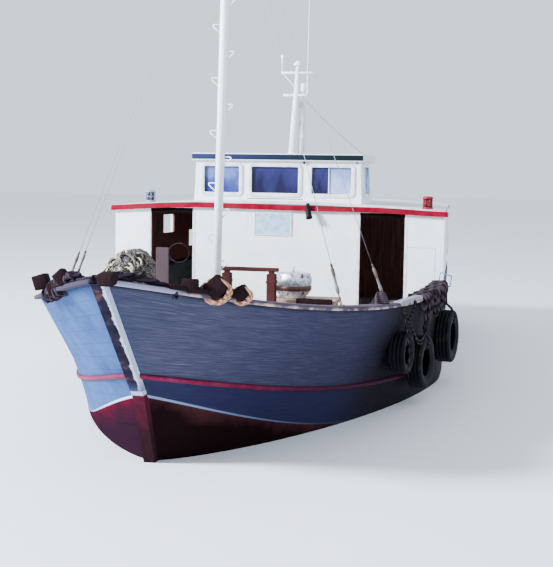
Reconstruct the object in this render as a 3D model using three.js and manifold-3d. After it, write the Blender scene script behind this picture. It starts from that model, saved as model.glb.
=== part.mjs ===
// Small wooden fishing trawler: decked hull, full-beam deckhouse aft, wheelhouse on its roof, foremast.
// Millimetres, +X to the bow, +Y to port, +Z up. The origin is on the waterline, on the centreline,
// under the front of the deckhouse.
import * as THREE from 'three';
import { mergeVertices } from 'three/addons/utils/BufferGeometryUtils.js';
import Module from 'manifold-3d';

const wasm = await Module();
wasm.setup();

// Driving dimensions
const GAP = 0.3;
const MOVING_GAP = 8;
const STEM_HEAD_X = 8100;
const STEM_WATER_X = 6450;
const STEM_KNEE_Z = 800;
const STEM_KNEE_X = 6830;
const FOREFOOT_X = 5150;
const FOREFOOT_Z = -1100;
const TRANSOM_X = -7450;
const TRANSOM_RAKE = 0.3;
const HALF_BEAM_RAIL = 2757;
const HALF_BEAM_WATER = 2750;
const SHEER_MID_Z = 1500;
const SHEER_BOW_RISE = 650;
const SHEER_STERN_RISE = 200;
const BOTTOM_AFT_Z = -1300;
const RUN_START_X = -4600;
const KEEL_HALF = 80;
const KEEL_BOTTOM_Z = -1450;
const KEEL_SHOE_TOP_Z = -1335;
const BULWARK = 60;
const BULWARK_HEIGHT = 750;
const DECK_THICK = 40;
const CAP_OUT = 70;
const CAP_IN = 120;
const CAP_THICK = 55;

const HOUSE_FRONT_X = 0;
const HOUSE_AFT_X = -4600;
const HOUSE_WALL = 60;
const HOUSE_HALF = 2770;
const HOUSE_HALF_AFT = 2530;
const ROOF_PROUD = 5;
const FASCIA_THICK = 28;
const ROOF_SIDE_Z = 2645;
const ROOF_CAMBER = 120;
const ROOF_THICK = 45;
const DOOR_IN_Y = 1410;
const DOOR_OUT_Y = 2140;
const DOOR_TOP_Z = 2585;
const SILL = 60;

const WHEEL_FRONT_X = -80;
const WHEEL_AFT_X = -1450;
const WHEEL_WALL = 50;
const WHEEL_HALF_LOW = 1412;
const WHEEL_HALF_TOP = 1382;
const WHEEL_TOP_Z = 3460;
const WHEEL_ROOF_THICK = 115;
const WHEEL_ROOF_HALF = 1440;
const WINDOW_LOW_Z = 2930;
const WINDOW_TOP_Z = 3390;

const MAST_X = 3690;
const MAST_RADIUS = 57;
const MAST_TOP_Z = 7600;
const COLLAR_Z = 7150;
const RUNG_PITCH = 347.5;
const SHAFT_Z = -900;
const SHAFT_RADIUS = 35;
const STERNPOST_FORE_X = -6200;
const STERNPOST_AFT_X = -6420;
const PROPELLER_X = -6690;
const STOCK_X = -7060;
const STOCK_RADIUS = 42;

const { clamp, lerp } = THREE.MathUtils;

// Solids: three.js geometry goes to manifold-3d for cutting and joining, and comes back for its mesh
function solid(geometry) {
  const bare = geometry.clone();
  bare.deleteAttribute('normal');
  bare.deleteAttribute('uv');
  const merged = mergeVertices(bare, 0.001);
  return new wasm.Manifold(new wasm.Mesh({
    numProp: 3,
    vertProperties: new Float32Array(merged.attributes.position.array),
    triVerts: new Uint32Array(merged.index.array),
  }));
}

function geometryOf(body) {
  const mesh = body.getMesh();
  const geometry = new THREE.BufferGeometry();
  geometry.setAttribute('position', new THREE.BufferAttribute(new Float32Array(mesh.vertProperties), 3));
  geometry.setIndex(new THREE.BufferAttribute(new Uint32Array(mesh.triVerts), 1));
  return geometry;
}

function join(bodies) {
  return bodies.reduce((sum, body) => sum.add(body));
}

function block(x0, x1, y0, y1, z0, z1) {
  const geometry = new THREE.BoxGeometry(x1 - x0, y1 - y0, z1 - z0);
  geometry.translate((x0 + x1) / 2, (y0 + y1) / 2, (z0 + z1) / 2);
  return solid(geometry);
}

function rod(from, to, radiusFrom, radiusTo = radiusFrom, sides = 12) {
  const start = new THREE.Vector3(...from);
  const along = new THREE.Vector3(...to).sub(start);
  const geometry = new THREE.CylinderGeometry(radiusTo, radiusFrom, along.length(), sides);
  geometry.translate(0, along.length() / 2, 0);
  geometry.applyQuaternion(
    new THREE.Quaternion().setFromUnitVectors(new THREE.Vector3(0, 1, 0), along.clone().normalize()));
  geometry.translate(start.x, start.y, start.z);
  return solid(geometry);
}

// A flat outline of [x, z] points, drawn in the boat's side view and given a width from y0 to y1
function sidePlate(outline, y0, y1) {
  const shape = new THREE.Shape(outline.map(([x, z]) => new THREE.Vector2(x, z)));
  const geometry = new THREE.ExtrudeGeometry(shape, { depth: y1 - y0, bevelEnabled: false });
  geometry.rotateX(Math.PI / 2);
  geometry.translate(0, y1, 0);
  return solid(geometry);
}

// A flat outline of [y, z] points, drawn in the boat's front view and given a length from x0 to x1
function frontPlate(outline, x0, x1) {
  const shape = new THREE.Shape(outline.map(([y, z]) => new THREE.Vector2(y, z)));
  const geometry = new THREE.ExtrudeGeometry(shape, { depth: x1 - x0, bevelEnabled: false });
  geometry.rotateX(Math.PI / 2);
  geometry.rotateZ(Math.PI / 2);
  geometry.translate(x0, 0, 0);
  return solid(geometry);
}

// A flat outline of [x, y] points, drawn in the boat's plan and given a height from z0 to z1
function planPlate(outline, z0, z1) {
  const shape = new THREE.Shape(outline.map(([x, y]) => new THREE.Vector2(x, y)));
  const geometry = new THREE.ExtrudeGeometry(shape, { depth: z1 - z0, bevelEnabled: false });
  geometry.translate(0, 0, z0);
  return solid(geometry);
}

function turned(profile, sides = 24) {
  const geometry = new THREE.LatheGeometry(profile.map(([r, z]) => new THREE.Vector2(r, z)), sides);
  geometry.rotateX(Math.PI / 2);
  return solid(geometry);
}

// Hull form. A column is a section of the hull: u is 1 at the stem, 0 amidships, -1 at the transom.
// Forward of amidships the columns lean with the raked stem.
const COLUMNS = [1, 0.98, 0.95, 0.9, 0.84, 0.77, 0.69, 0.6, 0.5, 0.38, 0.25, 0,
  -0.2, -0.4, -0.58, -0.72, -0.82, -0.91, -1];
const HULL_LEVELS = [0, 0.05, 0.12, 0.22, 0.34, 0.46, 0.6, 0.74, 0.87, 1];
const PLAIN_LEVELS = [0, 0.5, 1];

function stemX(z) {
  if (z >= STEM_KNEE_Z) {
    const slope = (STEM_HEAD_X - STEM_KNEE_X) / (SHEER_MID_Z + SHEER_BOW_RISE - STEM_KNEE_Z);
    return STEM_KNEE_X + slope * (z - STEM_KNEE_Z);
  }
  if (z >= 0) return lerp(STEM_WATER_X, STEM_KNEE_X, z / STEM_KNEE_Z);
  return lerp(STEM_WATER_X, FOREFOOT_X, (z / FOREFOOT_Z) ** 1.7);
}

function transomX(z) {
  return TRANSOM_X - TRANSOM_RAKE * Math.max(z, 0);
}

function columnX(u, z) {
  return u >= 0 ? u * stemX(z) : -u * transomX(z);
}

function railZ(u) {
  const aft = clamp((-u - 0.15) / 0.85, 0, 1);
  return SHEER_MID_Z + SHEER_BOW_RISE * Math.max(u, 0) ** 4 + SHEER_STERN_RISE * aft ** 2;
}

function bottomZ(u) {
  if (u >= 0) return lerp(-1200, FOREFOOT_Z, u);
  const x = -u * TRANSOM_X;
  const run = clamp((RUN_START_X - x) / (RUN_START_X - TRANSOM_X), 0, 1);
  return lerp(lerp(-1200, BOTTOM_AFT_Z, clamp(x / RUN_START_X, 0, 1)), -60, run ** 1.2);
}

function halfBreadth(u, z) {
  const fore = Math.max(u, 0);
  const aft = Math.max(-u, 0);
  const up = clamp(z / railZ(u), 0, 1) ** 1.5;
  const beam = lerp(HALF_BEAM_WATER, HALF_BEAM_RAIL, up);
  const narrowing = 1 - lerp(0.32, 0.22, up) * aft ** 1.7;
  const plan = beam * (1 - fore ** lerp(1.55, 2.45, up)) ** lerp(0.74, 0.775, up) * narrowing;
  if (z >= 0) return plan;
  const depth = clamp(z / bottomZ(u), 0, 1);
  const end = Math.max(fore, aft);
  const power = lerp(2.6, 1.2, end ** 1.5);
  return lerp(KEEL_HALF, Math.max(plan, KEEL_HALF), (1 - depth ** power) ** lerp(0.55, 1, end));
}

// A body bounded by the hull's form moved in by inset, between two heights given for each column
function hullBlock(inset, low, high, levels = PLAIN_LEVELS) {
  const positions = [];
  const faces = [];
  const rows = levels.length;
  for (const u of COLUMNS) {
    const rise = high(u) - low(u);
    const port = levels.map((level) => {
      const z = low(u) + level * rise;
      const x = columnX(u, z) - inset * Math.sign(u) * Math.abs(u);
      return [x, Math.max(halfBreadth(u, z) - inset, 4 + Math.max(-inset, 0)), z];
    });
    const starboard = port.map(([x, y, z]) => [x, -y, z]).reverse();
    positions.push(...port.flat(), ...starboard.flat());
  }
  const ring = rows * 2;
  for (let column = 0; column < COLUMNS.length - 1; column += 1) {
    for (let step = 0; step < ring; step += 1) {
      const here = column * ring + step;
      const next = column * ring + ((step + 1) % ring);
      faces.push(here, next + ring, next, here, here + ring, next + ring);
    }
  }
  const last = (COLUMNS.length - 1) * ring;
  for (let step = 0; step < rows - 1; step += 1) {
    const across = ring - 1 - step;
    faces.push(step, across - 1, across, step, step + 1, across - 1);
    const [a, b, c, d] = [last + step, last + across, last + across - 1, last + step + 1];
    faces.push(a, b, c, a, c, d);
  }
  const geometry = new THREE.BufferGeometry();
  geometry.setAttribute('position', new THREE.BufferAttribute(new Float32Array(positions), 3));
  geometry.setIndex(faces);
  return solid(geometry);
}

const deckZ = (u) => railZ(u) - BULWARK_HEIGHT;
const capTopZ = (u) => railZ(u) + GAP + CAP_THICK;

// The height and half-breadth of such a surface at x, straight from column to column as its facets are
function surfaceAt(x, height) {
  const places = COLUMNS.map((u) => [columnX(u, height(u)), height(u), halfBreadth(u, height(u))]);
  const index = clamp(places.findIndex(([columnPlace]) => columnPlace <= x), 1, places.length - 1);
  const [x1, z1, half1] = places[index - 1];
  const [x0, z0, half0] = places[index];
  const t = (x - x0) / (x1 - x0);
  return { z: lerp(z0, z1, t), half: lerp(half0, half1, t) };
}

const deckAt = (x) => surfaceAt(x, deckZ).z;
const capAt = (x) => surfaceAt(x, capTopZ).z;
// The deck rises forward, so a piece stands clear where its forward end does
const footAt = (foreX) => deckAt(foreX + BULWARK / 2) + GAP;
const railHalf = (x) => surfaceAt(x, railZ).half;

// The well between the bulwarks has levels at the deck's underside and top, so that the deck and the
// bulwarks share their facets. The block that cuts it reaches past the deck and the rail.
const WELL_PAST = 100;
const WELL_DEPTH = WELL_PAST + DECK_THICK + BULWARK_HEIGHT + WELL_PAST;
const WELL_LEVELS = [0, WELL_PAST / WELL_DEPTH, (WELL_PAST + DECK_THICK) / WELL_DEPTH, 0.55, 1];
const wellFloorZ = (u) => deckZ(u) - DECK_THICK;
const wellBlock = (inset) => hullBlock(inset, (u) => wellFloorZ(u) - WELL_PAST, (u) => railZ(u) + WELL_PAST,
  WELL_LEVELS);

// The hull is solid up to the underside of the deck, and the bulwarks stand on its edge round the deck
const BULWARK_LEVELS = [0, 0.3, 0.65, 1];
const hullRoom = hullBlock(-GAP, (u) => bottomZ(u) - GAP, wellFloorZ, HULL_LEVELS)
  .add(hullBlock(-GAP, (u) => wellFloorZ(u) - GAP, (u) => railZ(u) + GAP, BULWARK_LEVELS));
const hullTaken = hullRoom.subtract(wellBlock(BULWARK + GAP));

// Fish hold under the foredeck hatch, and the pit that holds the engine
const HATCH = { x0: 2200, x1: 3200, half: 500, sill: 260, lid: 50, wall: 60 };
const HOLD_FLOOR_Z = -500;
const ENGINE = { x0: -3900, x1: -2400, half: 420, z0: -650, z1: 350 };
const PIT_MARGIN = 150;

function makeHull() {
  const hold = block(HATCH.x0, HATCH.x1, -HATCH.half, HATCH.half, HOLD_FLOOR_Z, 1200);
  const pit = block(ENGINE.x0 - PIT_MARGIN, ENGINE.x1 + PIT_MARGIN,
    -ENGINE.half - PIT_MARGIN, ENGINE.half + PIT_MARGIN, ENGINE.z0 - GAP, 900);
  const rudderTrunk = rod([STOCK_X, 0, -600], [STOCK_X, 0, 60], STOCK_RADIUS + MOVING_GAP, undefined, 16);
  const form = hullBlock(0, bottomZ, (u) => wellFloorZ(u) - GAP, HULL_LEVELS);
  return form.subtract(hold).subtract(pit).subtract(rudderTrunk);
}

const PORT_AND_STARBOARD = [['port', 1], ['starboard', -1]];

// What lies on one side of the boat, for rings that are cut in two on the centreline
const sideOf = (side) => block(-9000, 9000, side > 0 ? GAP / 2 : -4000, side > 0 ? 4000 : -GAP / 2,
  -3000, 9000);

// Bulwarks and deck are in two lengths each, with a joint where the bow begins to draw in
const BULWARK_JOINT_X = 4400;
const DECK_JOINT_X = 3330;
const betweenX = (x0, x1) => block(x0 + GAP / 2, x1 - GAP / 2, -4000, 4000, -3000, 9000);

function makeBulwark(side, x0, x1) {
  const ring = hullBlock(0, wellFloorZ, railZ, BULWARK_LEVELS).subtract(wellBlock(BULWARK));
  return ring.intersect(sideOf(side)).intersect(betweenX(x0, x1));
}

function makeDeck(x0, x1) {
  const planks = hullBlock(BULWARK / 2, wellFloorZ, deckZ).subtract(hullTaken).intersect(betweenX(x0, x1));
  return planks.subtract(block(HATCH.x0, HATCH.x1, -HATCH.half, HATCH.half, 0, 1500));
}

function makeKeel() {
  const outline = [
    [-7480, KEEL_BOTTOM_Z], [4900, KEEL_BOTTOM_Z], [4900, -900], [-4500, -1100],
    [STERNPOST_FORE_X + GAP, -450], [STERNPOST_FORE_X + GAP, KEEL_SHOE_TOP_Z], [-7480, KEEL_SHOE_TOP_Z],
  ];
  const shaftBore = rod([STERNPOST_FORE_X - 50, 0, SHAFT_Z], [-5900, 0, SHAFT_Z], SHAFT_RADIUS + MOVING_GAP);
  const heel = rod([STOCK_X, 0, KEEL_SHOE_TOP_Z - 65], [STOCK_X, 0, -1200], 25 + MOVING_GAP, undefined, 16);
  return sidePlate(outline, -KEEL_HALF, KEEL_HALF).subtract(hullRoom).subtract(shaftBore).subtract(heel);
}

function makeStemPost() {
  const front = [];
  for (const z of [-1100, -850, -600, -300, 0, 400, STEM_KNEE_Z, 1500, 2148]) {
    front.push([stemX(Math.min(z, 2150)) + 110, z]);
  }
  const outline = [
    [4900 + GAP, KEEL_BOTTOM_Z], [5000, KEEL_BOTTOM_Z], [5220, -1330], ...front,
    [7500, 2148], [6300, 700], [5900, -100], [4900 + GAP, -850],
  ];
  const aboveRail = hullBlock(-CAP_OUT - GAP, railZ, (u) => railZ(u) + 600);
  return sidePlate(outline, -65, 65).subtract(hullRoom).subtract(aboveRail);
}

function makeSternpost() {
  const post = block(STERNPOST_AFT_X, STERNPOST_FORE_X, -KEEL_HALF, KEEL_HALF, KEEL_SHOE_TOP_Z + GAP, -300);
  const bore = rod([STERNPOST_AFT_X - 50, 0, SHAFT_Z], [STERNPOST_FORE_X + 50, 0, SHAFT_Z],
    SHAFT_RADIUS + MOVING_GAP);
  return post.subtract(hullRoom).subtract(bore);
}

function railCapBlock(grow) {
  const outer = hullBlock(-CAP_OUT - grow, (u) => railZ(u) + GAP - grow, (u) => capTopZ(u) + grow);
  const inner = hullBlock(CAP_IN + grow, (u) => railZ(u) - 50, (u) => capTopZ(u) + 50);
  return outer.subtract(inner);
}

const capTaken = railCapBlock(GAP);

// The red rubbing strake lies on the planking along its own sheer line
const STRAKE_HALF = 35;
const STRAKE_OUT = 35;
const strakeZ = (u) => 400 + 670 * Math.max(u, 0) ** 3.5 + 180 * Math.max(-u, 0) ** 2;

function makeRubStrake(side) {
  const band = hullBlock(-STRAKE_OUT, (u) => strakeZ(u) - STRAKE_HALF, (u) => strakeZ(u) + STRAKE_HALF);
  const reach = side > 0 ? [70, 4000] : [-4000, -70];
  return band.subtract(hullRoom).intersect(block(-7560, 7200, reach[0], reach[1], 0, 2000));
}

// Timberheads stand on the bow rail, three a side, with a chock under them. Those to port stand out over
// the rail cap's edge and are notched down over it.
const TIMBERHEADS = [
  { x: 7460, size: 150, port: 100, starboard: 130, out: 75, notch: 30 },
  { x: 7150, size: 220, port: 190, starboard: 160, out: 85, notch: 95 },
  { x: 6860, size: 150, port: 125, starboard: 140, out: 100, notch: 65 },
];
const CHOCK_THICK = 30;

function makeTimberheads(word, side) {
  const tops = TIMBERHEADS.map(({ x, size, [word]: height, out, notch }) => {
    const turn = Math.atan2(railHalf(x - 100) - railHalf(x + 100), 200);
    const drop = side > 0 ? notch + CHOCK_THICK : 0;
    const post = new THREE.BoxGeometry(size, size, height + drop);
    post.rotateZ(-side * turn);
    const y = side * (railHalf(x) + (side > 0 ? out : 0));
    post.translate(x, y, capAt(x) + CHOCK_THICK + (height - drop) / 2);
    return solid(post);
  });
  const chock = hullBlock(-60, (u) => capTopZ(u) + 3, (u) => capTopZ(u) + CHOCK_THICK + 25)
    .subtract(hullBlock(90, (u) => capTopZ(u) - 50, (u) => capTopZ(u) + 200))
    .intersect(block(6740, 7580, side > 0 ? 50 : -4000, side > 0 ? 4000 : -50, 0, 4000));
  return join([chock, ...tops]).subtract(capTaken).subtract(hullTaken);
}

// The foremast leans a little to port, and its rungs stand out by turns to port and to starboard
const mastY = (z) => 0.0194 * (z - 2060);

function makeForemast() {
  const foot = footAt(MAST_X + 170);
  const parts = [
    rod([MAST_X, mastY(foot), foot], [MAST_X, mastY(MAST_TOP_Z), MAST_TOP_Z], MAST_RADIUS, MAST_RADIUS, 16),
    rod([MAST_X, mastY(foot), foot], [MAST_X, mastY(foot), foot + 30], 170, 170, 16),
  ];
  for (let step = 0; step < 17; step += 1) {
    const z = 1380 + RUNG_PITCH * step;
    const side = step % 2 === 0 ? 1 : -1;
    const tip = [MAST_X, mastY(z) + side * 150, z];
    parts.push(rod([MAST_X, mastY(z) + side * 40, z], tip, 9, 9, 6));
    parts.push(rod([MAST_X, mastY(z) + side * 40, z - 120], tip, 9, 9, 6));
  }
  const collarY = mastY(COLLAR_Z);
  parts.push(rod([MAST_X, collarY, COLLAR_Z], [MAST_X, collarY, COLLAR_Z + 30], 105, 105, 16));
  return join(parts);
}

// Four wire shrouds run from the underside of the mast's collar to plates on the rail
const SHROUDS = [{ x: 5020, headX: 45, side: 1 }, { x: 3820, headX: 10, side: 1 },
  { x: 2750, headX: -10, side: -1 }, { x: 2300, headX: -45, side: -1 }];

function makeShroud({ x, headX, side }) {
  const plateZ = capAt(x + 60) + 3;
  const foot = [x, side * (railHalf(x) - 40), plateZ];
  const head = [MAST_X + headX, mastY(COLLAR_Z) + side * 80, COLLAR_Z - 5];
  const along = (t) => foot.map((value, axis) => lerp(value, head[axis], t));
  return join([
    rod(along(0.001), head, 7, 7, 6),
    rod(along(0.02), along(0.085), 22, 22, 8),
    block(x - 60, x + 60, foot[1] - 35, foot[1] + 35, plateZ, plateZ + 14),
  ]);
}

const BITTS_X = 1800;

function makeSamsonBitts() {
  const foot = footAt(BITTS_X + 68);
  const [x0, x1] = [BITTS_X - 68, BITTS_X + 68];
  const posts = [-345, 345].map((y) => block(x0, x1, y - 68, y + 68, foot, 1760));
  return join([...posts,
    block(BITTS_X - 50, BITTS_X + 50, -450, 450, 1790, 1850),
    block(BITTS_X - 40, BITTS_X + 40, -385, -305, 1700, 1800),
    block(BITTS_X - 40, BITTS_X + 40, 305, 385, 1700, 1800),
    block(BITTS_X - 40, BITTS_X + 40, -400, 400, 1180, 1270)]);
}

const CAPSTAN = { x: 1250, y: 570, baseTop: 1355, radius: 285, height: 390 };

function makeCapstanBase() {
  const foot = footAt(CAPSTAN.x + 300);
  const { x, y, baseTop } = CAPSTAN;
  return join([
    block(x - 300, x + 300, y - 285, y + 330, foot, baseTop - 60),
    block(x - 330, x + 330, y - 300, y + 700, baseTop - 70, baseTop),
    block(x - 300, x - 200, y + 560, y + 660, foot, baseTop - 60),
    block(x + 200, x + 300, y + 560, y + 660, foot, baseTop - 60),
  ]);
}

function makeCapstanDrum() {
  const { x, y, baseTop, radius, height } = CAPSTAN;
  const bands = [[0.72, 0], [0.72, 0.08], [0.9, 0.2], [1, 0.34], [1, 0.46], [0.96, 0.5], [1, 0.56],
    [1, 0.78], [0.94, 0.84], [0.94, 0.96], [0.5, 1]];
  const profile = [[0, 0], ...bands.map(([r, z]) => [r * radius, z * height]), [0, height]];
  const drum = turned(profile, 28).translate([x, y, baseTop + MOVING_GAP]);
  const top = baseTop + MOVING_GAP + height;
  return join([drum, rod([x, y, top - 20], [x, y, top + 90], 16, 16, 8)]);
}

function makeHatchCoaming() {
  const { x0, x1, half, sill, wall } = HATCH;
  const foot = footAt(x1 + wall);
  const lugs = [-350, 350].map((y) => block(x1 + wall - 10, x1 + wall + 70, y - 30, y + 30, foot + sill - 70,
    foot + sill - 4));
  return join([block(x0 - wall, x1 + wall, -half - wall, half + wall, foot, foot + sill), ...lugs])
    .subtract(block(x0, x1, -half, half, foot - 50, foot + sill + 50));
}

function makeHatchCover() {
  const { x0, x1, half, sill, wall, lid } = HATCH;
  const foot = footAt(x1 + wall);
  const low = foot + sill + MOVING_GAP;
  const battens = [0.25, 0.75].map((t) => {
    const x = lerp(x0, x1, t);
    return block(x - 40, x + 40, -half + 20, half - 20, low + lid - 5, low + lid + 30);
  });
  return join([block(x0 - wall - 20, x1 + wall + 20, -half - wall - 20, half + wall + 20, low, low + lid),
    ...battens]);
}

// The heap of netting on the starboard side of the foredeck: a mound with steep sides and an uneven top.
// Each ring of the mound is a height and a breadth, as shares of the whole.
const NET_HEAP = { x: 1400, y: -1955, length: 1600, breadth: 760, height: 1345 };
const NET_RINGS = [
  [0, 0.96], [0.22, 1.04], [0.45, 1], [0.66, 0.9], [0.82, 0.74], [0.93, 0.52], [0.985, 0.26],
];

function makeNetHeap() {
  const { x, y, length, breadth, height } = NET_HEAP;
  const rings = [[0, 0], ...NET_RINGS, [1, 0]];
  const profile = rings.map(([z, r]) => new THREE.Vector2(r, z));
  const geometry = new THREE.LatheGeometry(profile, 20);
  geometry.rotateX(Math.PI / 2);
  geometry.scale(length / 2, breadth / 2, height);
  geometry.translate(x, y, footAt(x + length / 2));
  const insideBulwark = hullBlock(BULWARK / 2, (u) => deckZ(u) + 3, (u) => deckZ(u) + 2500);
  return solid(geometry).subtract(hullTaken).subtract(capTaken).intersect(insideBulwark);
}

// Old truck tyres hang from the port rail as fenders
const TYRES = [
  { x: 460, y: 2886, z: 757, radius: 410, turn: -8 },
  { x: 2150, y: 2620, z: 597, radius: 380, turn: -11 },
  { x: 3050, y: 2437, z: 850, radius: 290, turn: -10 },
];
const TYRE = { hole: 0.53, half: 120 };

function makeTyreFender({ x, y, z, radius, turn }) {
  const { half } = TYRE;
  const hole = TYRE.hole * radius;
  const section = [[hole, -half * 0.7], [hole + 60, -half], [radius - 60, -half], [radius, -half * 0.7],
    [radius, half * 0.7], [radius - 60, half], [hole + 60, half], [hole, half * 0.7]];
  const inner = [[hole + 35, half * 0.45], [hole + 90, half * 0.75], [radius - 90, half * 0.75],
    [radius - 60, half * 0.4], [radius - 60, -half * 0.4], [radius - 90, -half * 0.75],
    [hole + 90, -half * 0.75], [hole + 35, -half * 0.45]];
  const outline = [...section, section[0]].map(([r, w]) => new THREE.Vector2(r, w));
  const ring = new THREE.LatheGeometry(outline, 28);
  ring.rotateZ(THREE.MathUtils.degToRad(turn));
  ring.translate(x, y, z);
  const strap = rod([x, y, z + radius - 60], [x, railHalf(x) + CAP_OUT + 30, 1540], 22, 22, 8);
  const strakeTaken = hullBlock(-STRAKE_OUT - GAP, (u) => strakeZ(u) - STRAKE_HALF - GAP,
    (u) => strakeZ(u) + STRAKE_HALF + GAP);
  return join([solid(ring), strap]).subtract(hullRoom).subtract(strakeTaken).subtract(capTaken);
}

// Deckhouse: walls of 60 mm, each its own panel, under a cambered roof with a red edge all round
const CAMBER_NODES = [-2890, -2400, -1800, -1200, -600, 0, 600, 1200, 1800, 2400, 2890];
const CAMBER_HALF = 2850;
const ROOF_FRONT_X = 45;
const ROOF_AFT_X = -4720;
const camberZ = (y) => ROOF_SIDE_Z + ROOF_CAMBER * (1 - (y / CAMBER_HALF) ** 2);

// The roof's outline in plan draws in aft with the walls, and is grown for the fascia round it
function roofPlan(grow) {
  const halfAt = (x) => lerp(HOUSE_HALF, HOUSE_HALF_AFT, x / HOUSE_AFT_X) + ROOF_PROUD + grow;
  const x0 = ROOF_AFT_X - grow;
  const x1 = ROOF_FRONT_X + grow;
  return planPlate([[x0, -halfAt(x0)], [x1, -halfAt(x1)], [x1, halfAt(x1)], [x0, halfAt(x0)]], 2000, 3500);
}

function camberSlab(low, high) {
  const under = CAMBER_NODES.map((y) => [y, camberZ(y) + low]);
  const over = CAMBER_NODES.map((y) => [y, camberZ(y) + high]).reverse();
  return frontPlate([...under, ...over], -9000, 9000);
}

const underCamber = CAMBER_NODES.map((y) => [y, camberZ(y) - GAP]);
const underRoof = frontPlate([[-2890, 0], ...underCamber, [2890, 0]], -9000, 9000);
const overRoof = frontPlate([[-2890, 9000], ...CAMBER_NODES.map((y) => [y, camberZ(y) + ROOF_THICK + GAP]),
  [2890, 9000]], -9000, 9000);

// A wall across the boat: inside the bulwarks below the rail, over the rail cap above it
function crossWall(x0, x1, half) {
  const low = block(x0, x1, -3000, 3000, 0, 3000)
    .intersect(hullBlock(BULWARK / 2, (u) => deckZ(u) + 3, (u) => capTopZ(u) + 60));
  const high = block(x0, x1, -half, half, capAt(x0) + 4, 3000);
  return low.add(high).subtract(hullTaken).subtract(capTaken).intersect(underRoof);
}

// The front wall is a panel between the two doorways, with the beam over them across the whole house
function makeHouseFront() {
  const panel = block(-200, 200, -DOOR_IN_Y, DOOR_IN_Y, 0, 3000);
  const beam = block(-200, 200, -3000, 3000, DOOR_TOP_Z, 3000);
  return crossWall(HOUSE_FRONT_X - HOUSE_WALL, HOUSE_FRONT_X, HOUSE_HALF).intersect(panel.add(beam));
}

const AFT_DOOR = { half: 380, top: 2560 };

function makeHouseAft() {
  const door = block(HOUSE_AFT_X - 100, HOUSE_AFT_X + 200, -AFT_DOOR.half, AFT_DOOR.half,
    deckAt(HOUSE_AFT_X) + SILL, AFT_DOOR.top);
  return crossWall(HOUSE_AFT_X, HOUSE_AFT_X + HOUSE_WALL, HOUSE_HALF_AFT).subtract(door);
}

const CORNER_LAP = 20;
const SIDE_OPENINGS = [
  { x0: -2730, x1: -2160, z0: 2120, z1: 2460 },
  { x0: -4400, x1: -3600, z0: 1800, z1: 2120 },
];

// Each side wall turns the corner in front and ends at the doorway, from the deck up to the beam
function makeHouseSide(side) {
  const x0 = HOUSE_AFT_X + HOUSE_WALL + GAP;
  const x1 = HOUSE_FRONT_X - HOUSE_WALL;
  const outline = [[x0, HOUSE_HALF_AFT], [x1, HOUSE_HALF], [x1, HOUSE_HALF - HOUSE_WALL],
    [x0, HOUSE_HALF_AFT - HOUSE_WALL]].map(([x, y]) => [x, side * y]);
  const wall = planPlate(side > 0 ? outline.reverse() : outline, 1400, 2900);
  const [y0, y1] = side > 0 ? [2000, 3000] : [-3000, -2000];
  const cuts = SIDE_OPENINGS.map((o) => block(o.x0, o.x1, y0, y1, o.z0, o.z1));
  const capSpace = hullBlock(-CAP_OUT - 40, (u) => railZ(u) - 300, (u) => capTopZ(u) + 4);
  const [in0, in1] = side > 0 ? [DOOR_OUT_Y, 3000] : [-3000, -DOOR_OUT_Y];
  const underBeam = block(x1 - CORNER_LAP, HOUSE_FRONT_X, in0, in1, 0, DOOR_TOP_Z - GAP);
  const corner = crossWall(x1 - CORNER_LAP, HOUSE_FRONT_X, HOUSE_HALF).intersect(underBeam);
  const clearOfBeam = block(x1 - GAP, HOUSE_FRONT_X + GAP, -3000, 3000, DOOR_TOP_Z - GAP, 3000);
  return wall.intersect(underRoof).subtract(capSpace).subtract(join(cuts)).add(corner).subtract(clearOfBeam);
}

const WELL = { x0: -1340, x1: -200, half: 1150 };

function makeDeckhouseRoof() {
  return camberSlab(0, ROOF_THICK).intersect(roofPlan(0))
    .subtract(block(WELL.x0, WELL.x1, -WELL.half, WELL.half, 2000, 3000));
}

function makeRoofFascia() {
  return camberSlab(-32, 62).intersect(roofPlan(FASCIA_THICK)).subtract(roofPlan(GAP));
}

// Wheelhouse: four walls with raised window frames, its floor a platform inside the deckhouse
const FRONT_WINDOWS = [{ y0: -1240, y1: -630 }, { y0: -430, y1: 370 }, { y0: 580, y1: 1250 }];
const SIDE_WINDOW = { x0: -1050, x1: -350 };
const FRAME_WIDTH = 55;
const FRAME_OUT = 22;

const wheelHalfAt = (z) => lerp(WHEEL_HALF_LOW, WHEEL_HALF_TOP, (z - 2750) / (WHEEL_TOP_Z - 2750));
const wheelOutline = (inset) => [[-wheelHalfAt(2600) + inset, 2600], [wheelHalfAt(2600) - inset, 2600],
  [wheelHalfAt(WHEEL_TOP_Z) - inset, WHEEL_TOP_Z], [-wheelHalfAt(WHEEL_TOP_Z) + inset, WHEEL_TOP_Z]];

function makeWheelFront() {
  const x0 = WHEEL_FRONT_X - WHEEL_WALL;
  const wall = frontPlate(wheelOutline(0), x0, WHEEL_FRONT_X);
  const frames = FRONT_WINDOWS.map(({ y0, y1 }) => block(WHEEL_FRONT_X - 10, WHEEL_FRONT_X + FRAME_OUT,
    y0 - FRAME_WIDTH, y1 + FRAME_WIDTH, WINDOW_LOW_Z - FRAME_WIDTH, WINDOW_TOP_Z + 40));
  const lights = FRONT_WINDOWS.map(({ y0, y1 }) => block(x0 - 50, WHEEL_FRONT_X + 100, y0, y1, WINDOW_LOW_Z,
    WINDOW_TOP_Z));
  return join([wall, ...frames]).subtract(join(lights)).intersect(overRoof);
}

function makeWheelAft() {
  const door = block(WHEEL_AFT_X - 100, WHEEL_AFT_X + 200, -350, 350, 2860, 3400);
  const wall = frontPlate(wheelOutline(0), WHEEL_AFT_X, WHEEL_AFT_X + WHEEL_WALL);
  return wall.subtract(door).intersect(overRoof);
}

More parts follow.
